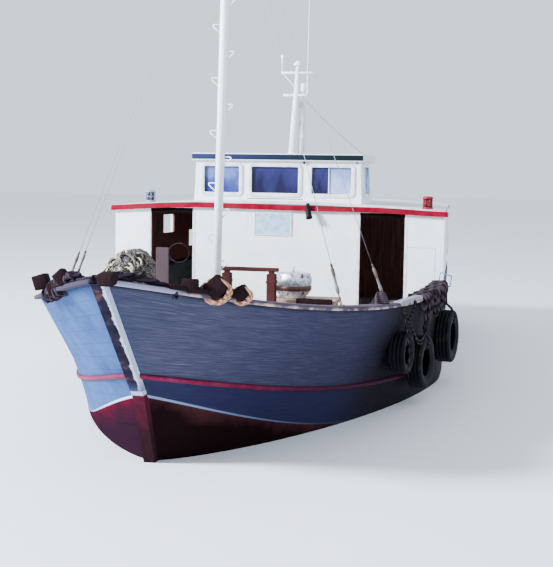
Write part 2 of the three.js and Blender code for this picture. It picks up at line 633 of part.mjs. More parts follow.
function makeWheelSide(side) {
  const x0 = WHEEL_AFT_X + WHEEL_WALL + GAP;
  const x1 = WHEEL_FRONT_X - WHEEL_WALL - GAP;
  const room = frontPlate(wheelOutline(WHEEL_WALL), x0 - 10, x1 + 10);
  const wall = frontPlate(wheelOutline(0), x0, x1).subtract(room);
  const [y0, y1] = side > 0 ? [500, 2000] : [-2000, -500];
  const half = block(x0 - 10, x1 + 10, y0, y1, 2600, 4000);
  const light = block(SIDE_WINDOW.x0, SIDE_WINDOW.x1, y0, y1, WINDOW_LOW_Z, WINDOW_TOP_Z);
  return wall.intersect(half).subtract(light).intersect(overRoof);
}

function makeWheelRoof() {
  const half = WHEEL_ROOF_HALF;
  const edge = WHEEL_TOP_Z + WHEEL_ROOF_THICK - 20;
  const crown = WHEEL_TOP_Z + WHEEL_ROOF_THICK + 10;
  const outline = [[-half, WHEEL_TOP_Z + GAP], [half, WHEEL_TOP_Z + GAP], [half, edge],
    [half * 0.5, crown], [-half * 0.5, crown], [-half, edge]];
  return frontPlate(outline, WHEEL_AFT_X - 90, WHEEL_FRONT_X + 70);
}

function makeFrontPane({ y0, y1 }) {
  const [z0, z1] = [WINDOW_LOW_Z + GAP, WINDOW_TOP_Z - GAP];
  return block(WHEEL_FRONT_X - 34, WHEEL_FRONT_X - 26, y0 + GAP, y1 - GAP, z0, z1);
}

function makeSidePane(side) {
  const pane = frontPlate(wheelOutline(20), SIDE_WINDOW.x0 + GAP, SIDE_WINDOW.x1 - GAP)
    .subtract(frontPlate(wheelOutline(28), SIDE_WINDOW.x0 - 10, SIDE_WINDOW.x1 + 10));
  return pane.intersect(block(-2000, 0, side > 0 ? 500 : -2000, side > 0 ? 2000 : -500, WINDOW_LOW_Z + GAP,
    WINDOW_TOP_Z - GAP));
}

const PLATFORM = { x0: -1380, x1: HOUSE_FRONT_X - HOUSE_WALL - 3, half: 1000, top: 1560 };

function makePlatform() {
  const { x0, x1, half, top } = PLATFORM;
  const foot = Math.max(footAt(x0 - BULWARK), footAt(x1));
  return join([
    block(x0, x1, -half, half, top - 50, top),
    block(x0, x1, -half, -half + 40, foot, top - 40),
    block(x0, x1, half - 40, half, foot, top - 40),
    block(x0 + 200, x0 + 240, -half, half, foot, top - 40),
  ]);
}

const HELM = { x: -560, z: 2900, radius: 350, stand: 110 };

function makeHelmStand() {
  const { x, z, stand } = HELM;
  return join([
    block(x + 40, x + 40 + stand * 2, -stand, stand, PLATFORM.top + 3, z + 130),
    rod([x + 50, 0, z], [x + 8, 0, z], 60, 60, 16),
  ]);
}

function makeHelmWheel() {
  const { x, z, radius } = HELM;
  const rim = new THREE.TorusGeometry(radius, 20, 8, 32);
  rim.rotateY(Math.PI / 2);
  const parts = [solid(rim), rod([-22, 0, 0], [22, 0, 0], 55, 55, 16)];
  for (let spoke = 0; spoke < 6; spoke += 1) {
    const angle = (spoke / 6) * Math.PI * 2;
    const reach = radius + 110;
    parts.push(rod([0, 0, 0], [0, Math.sin(angle) * reach, Math.cos(angle) * reach], 13, 15, 8));
  }
  return join(parts).translate([x - 30, 0, z]);
}

// Steel mast with lamp, aerial bars and whip on the wheelhouse roof, raked aft
const ROOF_MAST = { x: -1300, tip: -1740, foot: WHEEL_TOP_Z + WHEEL_ROOF_THICK + 13, top: 5180 };

function makeRoofMast() {
  const { x, tip, foot, top } = ROOF_MAST;
  const at = (z) => lerp(x, tip, (z - foot) / (top - foot));
  const bar = (z, y0, y1) => rod([at(z), y0, z], [at(z), y1, z], 18, 18, 8);
  return join([
    rod([x, 0, foot + 20], [tip, 0, top], 62, 34, 16),
    rod([x, 0, foot], [x, 0, foot + 26], 95, 95, 16),
    rod([tip, 0, top - 10], [tip, 0, top + 30], 80, 72, 16),
    rod([tip, 0, top + 25], [tip, 0, top + 70], 50, 30, 16),
    bar(5040, -290, 320),
    bar(4640, -225, 225),
    rod([at(5040), -275, 5030], [at(5040), -275, 5290], 14, 14, 8),
    rod([at(5040), -275, 5280], [at(5040), -275, 5350], 18, 34, 8),
    rod([at(5040), -265, 5030], [at(4760), -10, 4760], 8, 8, 6),
    rod([at(4640) + 4, 130, 4640], [at(4640) + 4, 130, 4720], 10, 10, 6),
    rod([at(4640) + 4, 130, 4700], [at(4640) + 4, 130, 4850], 42, 42, 12),
  ]);
}

function makeExhaustStack() {
  const { x, foot } = ROOF_MAST;
  return join([
    rod([x - 20, 165, foot + 20], [x - 320, 165, 4500], 58, 58, 14),
    rod([x - 320, 165, 4500], [x - 335, 165, 4555], 58, 20, 14),
    block(x - 100, x + 60, 105, 230, foot, foot + 26),
  ]);
}

function makeWhipAntenna() {
  const z = 4640 + 18 + 1;
  const x = lerp(ROOF_MAST.x, ROOF_MAST.tip, (z - ROOF_MAST.foot) / (ROOF_MAST.top - ROOF_MAST.foot));
  const socket = rod([x, 205, z], [x, 205, z + 330], 20, 17, 8);
  return join([socket, rod([x, 205, z + 320], [x, 235, z + 2500], 11, 6, 8)]);
}

// The side lanterns stand on the roof's front edge, the starboard one further in
const LANTERN_Y = { port: 2492, starboard: -2170 };

function makeNavLight(y) {
  const foot = camberZ(y) + ROOF_THICK + 9;
  return turned([[0, 0], [90, 0], [90, 25], [74, 32], [74, 160], [90, 168], [80, 195], [0, 205]], 16)
    .translate([-60, y, foot]);
}

function makeSignBoard() {
  return block(HOUSE_FRONT_X + GAP, HOUSE_FRONT_X + 18, -350, 280, 2240, 2610);
}

function makeDeckLamp() {
  const x = ROOF_FRONT_X + FASCIA_THICK + GAP;
  const shade = rod([x + 40, 562, 2710], [x + 95, 602, 2540], 40, 56, 12);
  return join([block(x, x + 60, 535, 590, 2690, 2790), shade]);
}

// Engine, propeller and rudder
function makeEngineBlock() {
  return block(ENGINE.x0, ENGINE.x1, -ENGINE.half, ENGINE.half, ENGINE.z0, ENGINE.z1);
}

function makePropeller() {
  const parts = [
    turned([[0, -110], [75, -110], [85, -60], [85, 60], [60, 130], [0, 165]], 20).rotate([0, -90, 0]),
    rod([0, 0, 0], [5950 * -1 - PROPELLER_X, 0, 0], SHAFT_RADIUS, SHAFT_RADIUS, 16),
  ];
  for (let index = 0; index < 3; index += 1) {
    const blade = new THREE.SphereGeometry(1, 12, 8);
    blade.scale(11, 125, 165);
    blade.rotateZ(THREE.MathUtils.degToRad(38));
    blade.translate(0, 0, 205);
    blade.rotateX((index / 3) * Math.PI * 2);
    parts.push(solid(blade));
  }
  return join(parts).translate([PROPELLER_X, 0, SHAFT_Z]);
}

function makeRudder() {
  const edge = [[-7005, -1315], [-7640, -1300], [-7700, -700], [-7560, -340], [-7005, -340]];
  const blade = sidePlate(edge, -22, 22);
  return join([
    blade,
    rod([STOCK_X, 0, -1315], [STOCK_X, 0, 20], STOCK_RADIUS, STOCK_RADIUS, 16),
    rod([STOCK_X, 0, KEEL_SHOE_TOP_Z - 50], [STOCK_X, 0, -1300], 25, 25, 12),
  ]);
}

const group = new THREE.Group();

function add(name, body, color, roughness = 0.7, metalness = 0) {
  const geometry = body.isBufferGeometry ? body : geometryOf(body);
  const mesh = new THREE.Mesh(geometry, new THREE.MeshStandardMaterial({ color, roughness, metalness }));
  mesh.name = name;
  group.add(mesh);
}

add('hull', makeHull(), 0x56657a);
add('deck', makeDeck(-9000, DECK_JOINT_X), 0x8d8578);
add('foredeck', makeDeck(DECK_JOINT_X, 9000), 0x8d8578);
add('keel', makeKeel(), 0x5a2c28);
add('stem_post', makeStemPost(), 0x9a8f8c);
add('sternpost', makeSternpost(), 0x5a2c28);
for (const [word, side] of PORT_AND_STARBOARD) {
  add(`bulwark_${word}`, makeBulwark(side, -9000, BULWARK_JOINT_X), 0x56657a);
  add(`bow_bulwark_${word}`, makeBulwark(side, BULWARK_JOINT_X, 9000), 0x56657a);
  add(`rail_cap_${word}`, railCapBlock(0).subtract(hullRoom).intersect(sideOf(side)), 0xa08d84);
  add(`rub_strake_${word}`, makeRubStrake(side), 0xb03338);
  add(`timberheads_${word}`, makeTimberheads(word, side), 0x4a3a35);
}
add('foremast', makeForemast(), 0xf0f0f2, 0.5, 0.3);
SHROUDS.forEach((shroud, index) => add(`shroud_${index + 1}`, makeShroud(shroud), 0x6b6668, 0.5, 0.8));
add('samson_bitts', makeSamsonBitts(), 0x6e4038);
add('capstan_base', makeCapstanBase(), 0xb8a184);
add('capstan_drum', makeCapstanDrum(), 0xb6bcc6, 0.45, 0.7);
add('hatch_coaming', makeHatchCoaming(), 0x8d8578);
add('hatch_cover', makeHatchCover(), 0x9b9284);
add('net_heap', makeNetHeap(), 0x6b6a58, 0.95);
TYRES.forEach((tyre, index) => add(`tyre_fender_${index + 1}`, makeTyreFender(tyre), 0x17171b, 0.85));

for (const [word, side] of PORT_AND_STARBOARD) add(`deckhouse_${word}`, makeHouseSide(side), 0xe9edf2);
add('deckhouse_front', makeHouseFront(), 0xe9edf2);
add('deckhouse_aft', makeHouseAft(), 0xe9edf2);
add('deckhouse_roof', makeDeckhouseRoof(), 0xe4e6ea);
add('roof_fascia', makeRoofFascia(), 0xc93034);
for (const [word, side] of PORT_AND_STARBOARD) add(`wheelhouse_${word}`, makeWheelSide(side), 0xe9edf2);
add('wheelhouse_front', makeWheelFront(), 0xe9edf2);
add('wheelhouse_aft', makeWheelAft(), 0xe9edf2);
add('wheelhouse_roof', makeWheelRoof(), 0x1f4a52);
FRONT_WINDOWS.forEach((light, index) => {
  add(`window_front_${index + 1}`, makeFrontPane(light), 0x6f86a8, 0.1);
});
for (const [word, side] of PORT_AND_STARBOARD) add(`window_${word}`, makeSidePane(side), 0x6f86a8, 0.1);
add('wheelhouse_platform', makePlatform(), 0x6b3a2e);
add('helm_stand', makeHelmStand(), 0x6b3a2e);
add('helm_wheel', makeHelmWheel(), 0x3a2620);
add('roof_mast', makeRoofMast(), 0xf0f0f2, 0.5, 0.3);
add('exhaust_stack', makeExhaustStack(), 0xe6e0d6, 0.6, 0.3);
add('whip_antenna', makeWhipAntenna(), 0xf4f4f4, 0.4);
add('nav_light_port', makeNavLight(LANTERN_Y.port), 0xb02028, 0.4);
add('nav_light_starboard', makeNavLight(LANTERN_Y.starboard), 0x7d8c98, 0.4);
add('sign_board', makeSignBoard(), 0xa9c7d8);
add('deck_lamp', makeDeckLamp(), 0x1d1d20, 0.5, 0.5);
add('engine_block', makeEngineBlock(), 0x3c4a44, 0.6, 0.6);
add('propeller', makePropeller(), 0x9c7a3c, 0.4, 0.9);
add('rudder', makeRudder(), 0x5a2c28, 0.7, 0.4);

export default group;
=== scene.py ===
"""Small wooden fishing trawler: the finished look, piece by piece. Metres, +X to the bow, z = 0 afloat."""
import math
import random

import bmesh
import bpy
from mathutils import Matrix, Vector, noise


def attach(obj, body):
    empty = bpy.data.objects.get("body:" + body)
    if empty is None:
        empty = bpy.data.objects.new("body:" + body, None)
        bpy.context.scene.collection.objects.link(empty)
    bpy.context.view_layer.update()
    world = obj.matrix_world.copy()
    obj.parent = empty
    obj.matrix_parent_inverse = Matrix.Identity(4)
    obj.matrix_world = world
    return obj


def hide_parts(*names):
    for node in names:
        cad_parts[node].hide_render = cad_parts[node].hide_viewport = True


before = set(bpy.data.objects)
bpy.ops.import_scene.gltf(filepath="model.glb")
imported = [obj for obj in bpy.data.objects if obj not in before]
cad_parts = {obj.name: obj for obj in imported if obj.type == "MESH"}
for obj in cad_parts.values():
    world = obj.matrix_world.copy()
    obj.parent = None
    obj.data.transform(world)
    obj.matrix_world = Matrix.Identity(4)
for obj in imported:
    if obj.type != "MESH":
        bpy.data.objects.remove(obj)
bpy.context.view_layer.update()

# Camera: the photograph is taken from off the port bow, at about the height of the wheelhouse floor.
# It looks aft along the boat with a long lens, a little down, and is held a degree off level.
FOCAL_PIXELS = 1172.39
PHOTO_PIXELS = 567
HORIZON_PIXELS = 109.2
CAMERA_PLACE = Vector((18.912, 4.05, 3.246))
CAMERA_YAW = 0.209
CAMERA_DOWN = math.atan(HORIZON_PIXELS / FOCAL_PIXELS)
CAMERA_ROLL = math.radians(0.877)

ahead = Vector((-math.cos(CAMERA_YAW), -math.sin(CAMERA_YAW), 0))
across = Vector((-math.sin(CAMERA_YAW), math.cos(CAMERA_YAW), 0))
sight = ahead * math.cos(CAMERA_DOWN) - Vector((0, 0, math.sin(CAMERA_DOWN)))
lift = Vector((0, 0, math.cos(CAMERA_DOWN))) + ahead * math.sin(CAMERA_DOWN)
camera_right = across * math.cos(CAMERA_ROLL) + lift * math.sin(CAMERA_ROLL)
camera_up = lift * math.cos(CAMERA_ROLL) - across * math.sin(CAMERA_ROLL)

camera_data = bpy.data.cameras.new("camera")
camera_data.lens = FOCAL_PIXELS * camera_data.sensor_width / PHOTO_PIXELS
camera_data.clip_end = 500
camera = bpy.data.objects.new("camera", camera_data)
camera.matrix_world = Matrix(((camera_right.x, camera_up.x, -sight.x, CAMERA_PLACE.x),
                              (camera_right.y, camera_up.y, -sight.y, CAMERA_PLACE.y),
                              (camera_right.z, camera_up.z, -sight.z, CAMERA_PLACE.z), (0, 0, 0, 1)))
bpy.context.scene.collection.objects.link(camera)
bpy.context.scene.camera = camera

# Light: a low, soft key from the starboard bow lights the starboard planking and the front of the house,
# and leaves the port side in open shade, as the morning sun does in the photograph.
world = bpy.data.worlds.new("pale_sky")
bpy.context.scene.world = world
world.use_nodes = True
sky = world.node_tree.nodes["Background"]
sky.inputs["Color"].default_value = (0.78, 0.875, 1.0, 1)
sky.inputs["Strength"].default_value = 1.5


def soft_light(name, place, aim, size, power, tint):
    lamp = bpy.data.lights.new(name, "AREA")
    lamp.shape = "DISK"
    lamp.size = size
    lamp.energy = power
    lamp.color = tint
    holder = bpy.data.objects.new(name, lamp)
    holder.location = place
    holder.rotation_euler = (Vector(aim) - Vector(place)).to_track_quat("-Z", "Y").to_euler()
    bpy.context.scene.collection.objects.link(holder)


soft_light("key_from_starboard_bow", (20, -26, 17), (1, 0, 1.5), 7, 50000, (0.87, 0.94, 1.0))
soft_light("fill_from_port", (10, 26, 14), (0, 0, 1), 16, 900, (0.80, 0.86, 1.0))


def srgb(colour):
    """A colour written as sRGB hex, as linear red, green, blue and alpha."""
    linear = []
    for place in (1, 3, 5):
        value = int(colour[place:place + 2], 16) / 255
        linear.append(value / 12.92 if value <= 0.04045 else ((value + 0.055) / 1.055) ** 2.4)
    return (*linear, 1)


def set_inputs(node, inputs):
    """Gives a node's sockets their values, or the sockets that feed them."""
    for socket_name, value in inputs.items():
        if isinstance(value, bpy.types.NodeSocket):
            node.id_data.links.new(value, node.inputs[socket_name])
        else:
            node.inputs[socket_name].default_value = value


def add_node(tree, kind, inputs=None, stops=None, out=0, **settings):
    """Adds a node with its settings, its inputs and a ramp's (place, colour) stops, and gives one output."""
    made = tree.nodes.new("ShaderNode" + kind)
    for word, value in settings.items():
        setattr(made, word, value)
    set_inputs(made, inputs or {})
    for index, (place, colour) in enumerate(stops or []):
        elements = made.color_ramp.elements
        stop = elements[index] if index < 2 else elements.new(place)
        stop.position = place
        stop.color = srgb(colour)
    return made.outputs[out]


# A mix node that mixes two colours, its inputs 6 and 7 by its input 0, has these settings and this output
MIX_COLOURS = {"data_type": "RGBA", "out": 2}


def start_material(name, roughness, inputs=None):
    """A material with its surface shader. Values that are the same all over go straight on the shader."""
    made = bpy.data.materials.new(name)
    made.use_nodes = True
    shader = made.node_tree.nodes["Principled BSDF"]
    set_inputs(shader, {"Roughness": roughness, **(inputs or {})})
    return made, made.node_tree, shader


# Hull: carvel planks about 140 mm wide on sawn frames, 60 mm thick with their bulwarks, painted blue and
# long weathered. The port side is painted slate grey, partly weathering and partly painted shade. A white
# line parts it from the red-brown bottom.
STEM_HEAD_X = 8.1
STEM_WATER_X = 6.45
STEM_KNEE_Z = 0.8
STEM_KNEE_X = 6.83
FOREFOOT_X = 5.15
FOREFOOT_Z = -1.1
TRANSOM_X = -7.45
TRANSOM_RAKE = 0.3
HALF_BEAM_RAIL = 2.757
HALF_BEAM_WATER = 2.75
SHEER_MID_Z = 1.5
SHEER_BOW_RISE = 0.65
SHEER_STERN_RISE = 0.2
RUN_START_X = -4.6
KEEL_HALF = 0.08
PLANK_THICK = 0.06
BULWARK_HEIGHT = 0.75
STRAKES = 17
SIDES = (("port", 1), ("starboard", -1))
TRANSOM_PLANKS = 11
HULL_COLUMNS = 110
HULL_ROWS = 44


def lerp(low, high, share):
    return low + (high - low) * share


def clamp(value, low=0.0, high=1.0):
    return max(low, min(high, value))


def stem_x(z):
    if z >= STEM_KNEE_Z:
        slope = (STEM_HEAD_X - STEM_KNEE_X) / (SHEER_MID_Z + SHEER_BOW_RISE - STEM_KNEE_Z)
        return STEM_KNEE_X + slope * (z - STEM_KNEE_Z)
    if z >= 0:
        return lerp(STEM_WATER_X, STEM_KNEE_X, z / STEM_KNEE_Z)
    return lerp(STEM_WATER_X, FOREFOOT_X, (z / FOREFOOT_Z) ** 1.7)


def column_x(u, z):
    return u * stem_x(z) if u >= 0 else -u * (TRANSOM_X - TRANSOM_RAKE * max(z, 0))


def rail_z(u):
    aft = clamp((-u - 0.15) / 0.85)
    return SHEER_MID_Z + SHEER_BOW_RISE * max(u, 0) ** 4 + SHEER_STERN_RISE * aft ** 2


def deck_z(u):
    return rail_z(u) - BULWARK_HEIGHT


def bottom_z(u):
    if u >= 0:
        return lerp(-1.2, FOREFOOT_Z, u)
    x = -u * TRANSOM_X
    run = clamp((RUN_START_X - x) / (RUN_START_X - TRANSOM_X))
    return lerp(lerp(-1.2, -1.3, clamp(x / RUN_START_X)), -0.06, run ** 1.2)


def half_breadth(u, z):
    fore = max(u, 0)
    aft = max(-u, 0)
    up = clamp(z / rail_z(u)) ** 1.5
    beam = lerp(HALF_BEAM_WATER, HALF_BEAM_RAIL, up)
    narrowing = 1 - lerp(0.32, 0.22, up) * aft ** 1.7
    plan = beam * (1 - fore ** lerp(1.55, 2.45, up)) ** lerp(0.74, 0.775, up) * narrowing
    if z >= 0:
        return plan
    depth = clamp(z / bottom_z(u))
    end = max(fore, aft)
    power = lerp(2.6, 1.2, end ** 1.5)
    return lerp(KEEL_HALF, max(plan, KEEL_HALF), (1 - depth ** power) ** lerp(0.55, 1, end))


def hull_point(u, z, inset=0.0):
    """A point of the port planking, or of a surface that lies inside it by inset."""
    x = column_x(u, z) - inset * u
    y = half_breadth(u, z) - inset
    return Vector((x, max(y, 0.0), z))


def column_at(x, height):
    """The column whose surface of that height stands at x."""
    low, high = -1.0, 1.0
    for _ in range(40):
        middle = (low + high) / 2
        if column_x(middle, height(middle)) < x:
            low = middle
        else:
            high = middle
    return (low + high) / 2


def rail_half(x):
    u = column_at(x, rail_z)
    return half_breadth(u, rail_z(u))


def deck_at(x):
    return deck_z(column_at(x, deck_z))


def rail_at(x):
    return rail_z(column_at(x, rail_z))


def boot_line_z(x):
    """The height of the painted waterline, which sweeps up at the bow."""
    return -0.02 + 0.94 * max((x - 3.4) / 3.72, 0) ** 1.7


def strake_line_z(u):
    """The height of the rubbing strake's middle."""
    return 0.4 + 0.67 * max(u, 0) ** 3.5 + 0.18 * max(-u, 0) ** 2


def hull_columns(count=HULL_COLUMNS, fore=1.0, aft=-1.0):
    """Columns from the stem to the transom, closer together at the stem where the planks turn in."""
    return [fore - (fore - aft) * (step / count) ** 1.5 for step in range(count + 1)]


def add_piece(name, mesh_body, material, smooth=True, body="boat"):
    """Makes an object of a finished mesh, and rides it on the body it moves with."""
    shape = bpy.data.meshes.new(name)
    mesh_body.normal_update()
    mesh_body.to_mesh(shape)
    mesh_body.free()
    shape.materials.append(material)
    for face in shape.polygons:
        face.use_smooth = smooth
    piece = bpy.data.objects.new(name, shape)
    bpy.context.scene.collection.objects.link(piece)
    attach(piece, body)
    return piece


def mapped_grid(columns, rows, place, marks=()):
    """A grid whose vertices are carried to place(column, row), for surfaces that follow the hull's form."""
    made = bmesh.new()
    layers = [made.verts.layers.float.new(word) for word in marks]
    bmesh.ops.create_grid(made, x_segments=columns, y_segments=rows, size=1)
    for vertex in made.verts:
        column = round((vertex.co.x + 1) / 2 * columns)
        row = round((vertex.co.y + 1) / 2 * rows)
        vertex.co, *values = place(column, row)
        for layer, value in zip(layers, values):
            vertex[layer] = value
    return made


columns = hull_columns()


def planking_at(column, row):
    """Outside from the keel up to the rail, then inside from the rail down again."""
    u = columns[column]
    inside = row > HULL_ROWS
    share = (2 * HULL_ROWS + 1 - row) / HULL_ROWS if inside else row / HULL_ROWS
    inset = PLANK_THICK if inside else 0.0
    low = bottom_z(u) + inset
    z = lerp(low, rail_z(u), share ** 0.85)
    point = hull_point(u, z, inset)
    if u == 1 or share == 0:
        point.y = 0
    return point, share * STRAKES, z - boot_line_z(point.x), float(inside), z - strake_line_z(u)


HULL_MARKS = ("strake", "above_boot", "inside", "above_strake")
hull = mapped_grid(HULL_COLUMNS, 2 * HULL_ROWS + 1, planking_at, HULL_MARKS)
bmesh.ops.mirror(hull, geom=hull.verts[:] + hull.edges[:] + hull.faces[:], axis="Y", merge_dist=0.0005)
bmesh.ops.remove_doubles(hull, verts=hull.verts, dist=0.0005)
bmesh.ops.recalc_face_normals(hull, faces=hull.faces)
bmesh.ops.holes_fill(hull, edges=[line for line in hull.edges if line.is_boundary])
bmesh.ops.triangulate(hull, faces=[face for face in hull.faces if len(face.verts) > 4])

# Oil paint on softwood planking that has stood for years: chalked, with the grain raised in fine streaks
# along each plank, rubbed pale where ropes and fenders work, and stained dark under the tyres, a darkening
# that is partly painted shade.
hull_paint, tree, shader = start_material("weathered_oil_paint_and_shade", 0.7)
place = add_node(tree, "TexCoord", out="Object")
axes = add_node(tree, "SeparateXYZ", {0: place}).node.outputs
strake, above_boot, inside, above_strake, on_transom = (
    add_node(tree, "Attribute", attribute_name=word, out="Fac") for word in (*HULL_MARKS, "on_transom"))
along_planks = add_node(tree, "CombineXYZ", {0: axes["X"], 1: strake, 2: axes["Y"]})
streak_place = add_node(tree, "Mapping", {"Vector": along_planks, "Scale": (1.1, 9.0, 0.4)})
streaks = add_node(tree, "TexNoise", {"Vector": streak_place, "Scale": 3.2, "Detail": 9.0, "Roughness": 0.68})
blotches = add_node(tree, "TexNoise", {"Vector": place, "Scale": 1.7, "Detail": 6.0, "Roughness": 0.62})
scratch_place = add_node(tree, "Mapping", {"Vector": along_planks, "Scale": (0.8, 30.0, 0.3)})
scratches = add_node(tree, "TexNoise", {"Vector": scratch_place, "Scale": 2.3, "Detail": 3.0})
starboard_blue = add_node(tree, "ValToRGB", {0: blotches}, [(0.32, "#223E70"), (0.66, "#3B588A")])
# The port copy of the paint is slate grey: partly weathering and partly painted shade.
port_slate_and_shade = add_node(tree, "ValToRGB", {0: streaks},
                      [(0.28, "#212334"), (0.5, "#37384E"), (0.72, "#595A6B")])
on_port = add_node(tree, "MapRange", {"Value": axes["Y"], 1: -0.12, 2: 0.12})
port_share = add_node(tree, "Math", {0: on_port, 1: on_transom}, operation="SUBTRACT", use_clamp=True)
sides = add_node(tree, "Mix", {0: port_share, 6: starboard_blue, 7: port_slate_and_shade}, **MIX_COLOURS)
scratch_share = add_node(tree, "MapRange", {"Value": scratches, 1: 0.70, 2: 0.76, 4: 0.55})
scratches_and_shade = add_node(tree, "Mix", {0: scratch_share, 6: sides, 7: srgb("#C3C8CE")}, **MIX_COLOURS)
# Painted shade: the port side darkens aft of the bow.
port_shade_ramp = add_node(tree, "MapRange", {"Value": axes["X"], 1: 6.9, 2: 4.2, 4: 0.55})
port_painted_shade = add_node(tree, "Math", {0: port_shade_ramp, 1: port_share}, operation="MULTIPLY")
scratches_and_shade = add_node(tree, "Mix", {0: port_painted_shade, 6: scratches_and_shade, 7: srgb("#221B3A")}, **MIX_COLOURS)
# Painted shade: on the port side the planking below the rubbing strake is darker.
strake_drop = add_node(tree, "MapRange", {"Value": above_strake, 1: 0.0, 2: -0.03, 4: 0.8})
port_shade_below_strake = add_node(tree, "Math", {0: strake_drop, 1: port_share}, operation="MULTIPLY")
scratches_and_shade = add_node(tree, "Mix", {0: port_shade_below_strake, 6: scratches_and_shade, 7: srgb("#151537")}, **MIX_COLOURS)
# The port side near the tyres goes near-black in blotches: partly stain and partly painted shade.
aft_share = add_node(tree, "MapRange", {"Value": axes["X"], 1: 4.5, 2: 3.1, 4: 0.96},
                     interpolation_type="SMOOTHSTEP")
aft_end = add_node(tree, "MapRange", {"Value": axes["X"], 1: -2.4, 2: -0.8})
aft_share = add_node(tree, "Math", {0: aft_share, 1: aft_end}, operation="MULTIPLY")
aft_port = add_node(tree, "Math", {0: aft_share, 1: port_share}, operation="MULTIPLY")
aft_blotches = add_node(tree, "MapRange", {"Value": blotches, 1: 0.25, 2: 0.45, 3: 0.75})
tyre_stain_and_shade = add_node(tree, "Math", {0: aft_port, 1: aft_blotches}, operation="MULTIPLY")
darkened = add_node(tree, "Mix", {0: tyre_stain_and_shade, 6: scratches_and_shade, 7: srgb("#0E090F")}, **MIX_COLOURS)
seam_share = add_node(tree, "Math", {0: strake}, operation="FRACT")
seam_dark = add_node(tree, "MapRange", {"Value": seam_share, 1: 0.035, 2: 0.0, 4: 0.35})
seamed = add_node(tree, "Mix", {0: seam_dark, 6: darkened, 7: srgb("#23222B")}, **MIX_COLOURS)
line_fore = add_node(tree, "MapRange", {"Value": axes["X"], 1: 4.4, 2: 7.2, 3: 0.06, 4: 0.86})
line_taper = add_node(tree, "MapRange", {"Value": axes["X"], 1: 4.5, 2: 7.6, 3: 1.9, 4: 1.1})
line_place = add_node(tree, "Math", {0: above_boot, 1: line_taper}, operation="MULTIPLY")
line_band = add_node(tree, "MapRange", {"Value": line_place, 1: 0.036, 2: 0.030})
line_share = add_node(tree, "Math", {0: line_band, 1: line_fore}, operation="MULTIPLY")
# Painted shade: the port copy of the white line is a darker blue-grey.
line_paint = add_node(tree, "Mix", {0: port_share, 6: srgb("#DCE6F2"), 7: srgb("#8291B6")}, **MIX_COLOURS)
lined = add_node(tree, "Mix", {0: line_share, 6: seamed, 7: line_paint}, **MIX_COLOURS)
# Painted shade: the bottom paint darkens downward from the boot line, and its port copy is near-black.
bottom_depth = add_node(tree, "MapRange", {"Value": above_boot, 1: 0.0, 2: -0.5})
bottom_mixed = add_node(tree, "Math", {0: bottom_depth, 1: blotches}, operation="ADD")
starboard_bottom = add_node(tree, "ValToRGB", {0: bottom_mixed},
                            [(0.45, "#4C0D1E"), (0.66, "#30121F"), (1.0, "#22121D")])
port_bottom = add_node(tree, "ValToRGB", {0: bottom_mixed},
                       [(0.30, "#591424"), (0.4, "#3A2023"), (0.8, "#170C0E")])
bottom_paint_and_shade = add_node(tree, "Mix", {0: port_share, 6: starboard_bottom, 7: port_bottom}, **MIX_COLOURS)
sunk_share = add_node(tree, "MapRange", {"Value": axes["Z"], 1: 0.0, 2: -0.2, 4: 0.8})
sunk_paint = add_node(tree, "ValToRGB", {0: blotches}, [(0.35, "#301618"), (0.6, "#582428")])
bottom_paint_and_shade = add_node(tree, "Mix", {0: sunk_share, 6: bottom_paint_and_shade, 7: sunk_paint}, **MIX_COLOURS)
below_boot = add_node(tree, "MapRange", {"Value": above_boot, 1: 0.004, 2: -0.004})
outside = add_node(tree, "Mix", {0: below_boot, 6: lined, 7: bottom_paint_and_shade}, **MIX_COLOURS)
inside_paint = add_node(tree, "ValToRGB", {0: blotches}, [(0.35, "#627177"), (0.65, "#97A4A6")])
painted = add_node(tree, "Mix", {0: inside, 6: outside, 7: inside_paint}, **MIX_COLOURS)
hull_shine = add_node(tree, "MapRange", {"Value": below_boot, 3: 0.08, 4: 0.0})
raised = add_node(tree, "Bump", {"Height": streaks, "Strength": 0.4, "Distance": 0.008})
seam_cut = add_node(tree, "MapRange", {"Value": seam_share, 1: 0.0, 2: 0.06})
caulked = add_node(tree, "Bump", {"Height": seam_cut, "Strength": 0.5, "Distance": 0.006, "Normal": raised})
set_inputs(shader, {"Base Color": painted, "Specular IOR Level": hull_shine, "Normal": caulked})

hull_planking = add_piece("hull_planking", hull, hull_paint)
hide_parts("hull", "bulwark_port", "bulwark_starboard", "bow_bulwark_port",
            "bow_bulwark_starboard")

# Transom: a flat raked board of level softwood planks between the quarters, nailed to the ends of the side
# planking and painted with it.
TRANSOM_COLUMNS = 40
TRANSOM_ROWS = 24


def transom_at(column, row):
    z = lerp(bottom_z(-1) + 0.02, rail_z(-1), row / TRANSOM_ROWS)
    half = max(half_breadth(-1, z) - 0.03, 0.05)
    across_share = 2 * column / TRANSOM_COLUMNS - 1
    point = Vector((column_x(-1, z), across_share * half, z))
    return point, row / TRANSOM_ROWS * TRANSOM_PLANKS, z + 0.02, 0.0, 1.0, 1.0


transom = mapped_grid(TRANSOM_COLUMNS, TRANSOM_ROWS, transom_at, (*HULL_MARKS, "on_transom"))
bmesh.ops.recalc_face_normals(transom, faces=transom.faces)
bmesh.ops.solidify(transom, geom=transom.faces[:], thickness=PLANK_THICK)
bmesh.ops.recalc_face_normals(transom, faces=transom.faces)
inside_layer = transom.verts.layers.float["inside"]
depths = {vertex: vertex.co.x - column_x(-1, vertex.co.z) for vertex in transom.verts}
middle_depth = (min(depths.values()) + max(depths.values())) / 2
for vertex, depth in depths.items():
    vertex[inside_layer] = float(depth > middle_depth)
add_piece("transom_planking", transom, hull_paint, smooth=False)

# Fish hold: a box of tongued larch boards, wet and dark, let into the hull under the foredeck hatch and
# open at the top.
HATCH_AFT_X = 2.2
HATCH_FORE_X = 3.2
HATCH_HALF = 0.5
HOLD_FLOOR_Z = -0.5


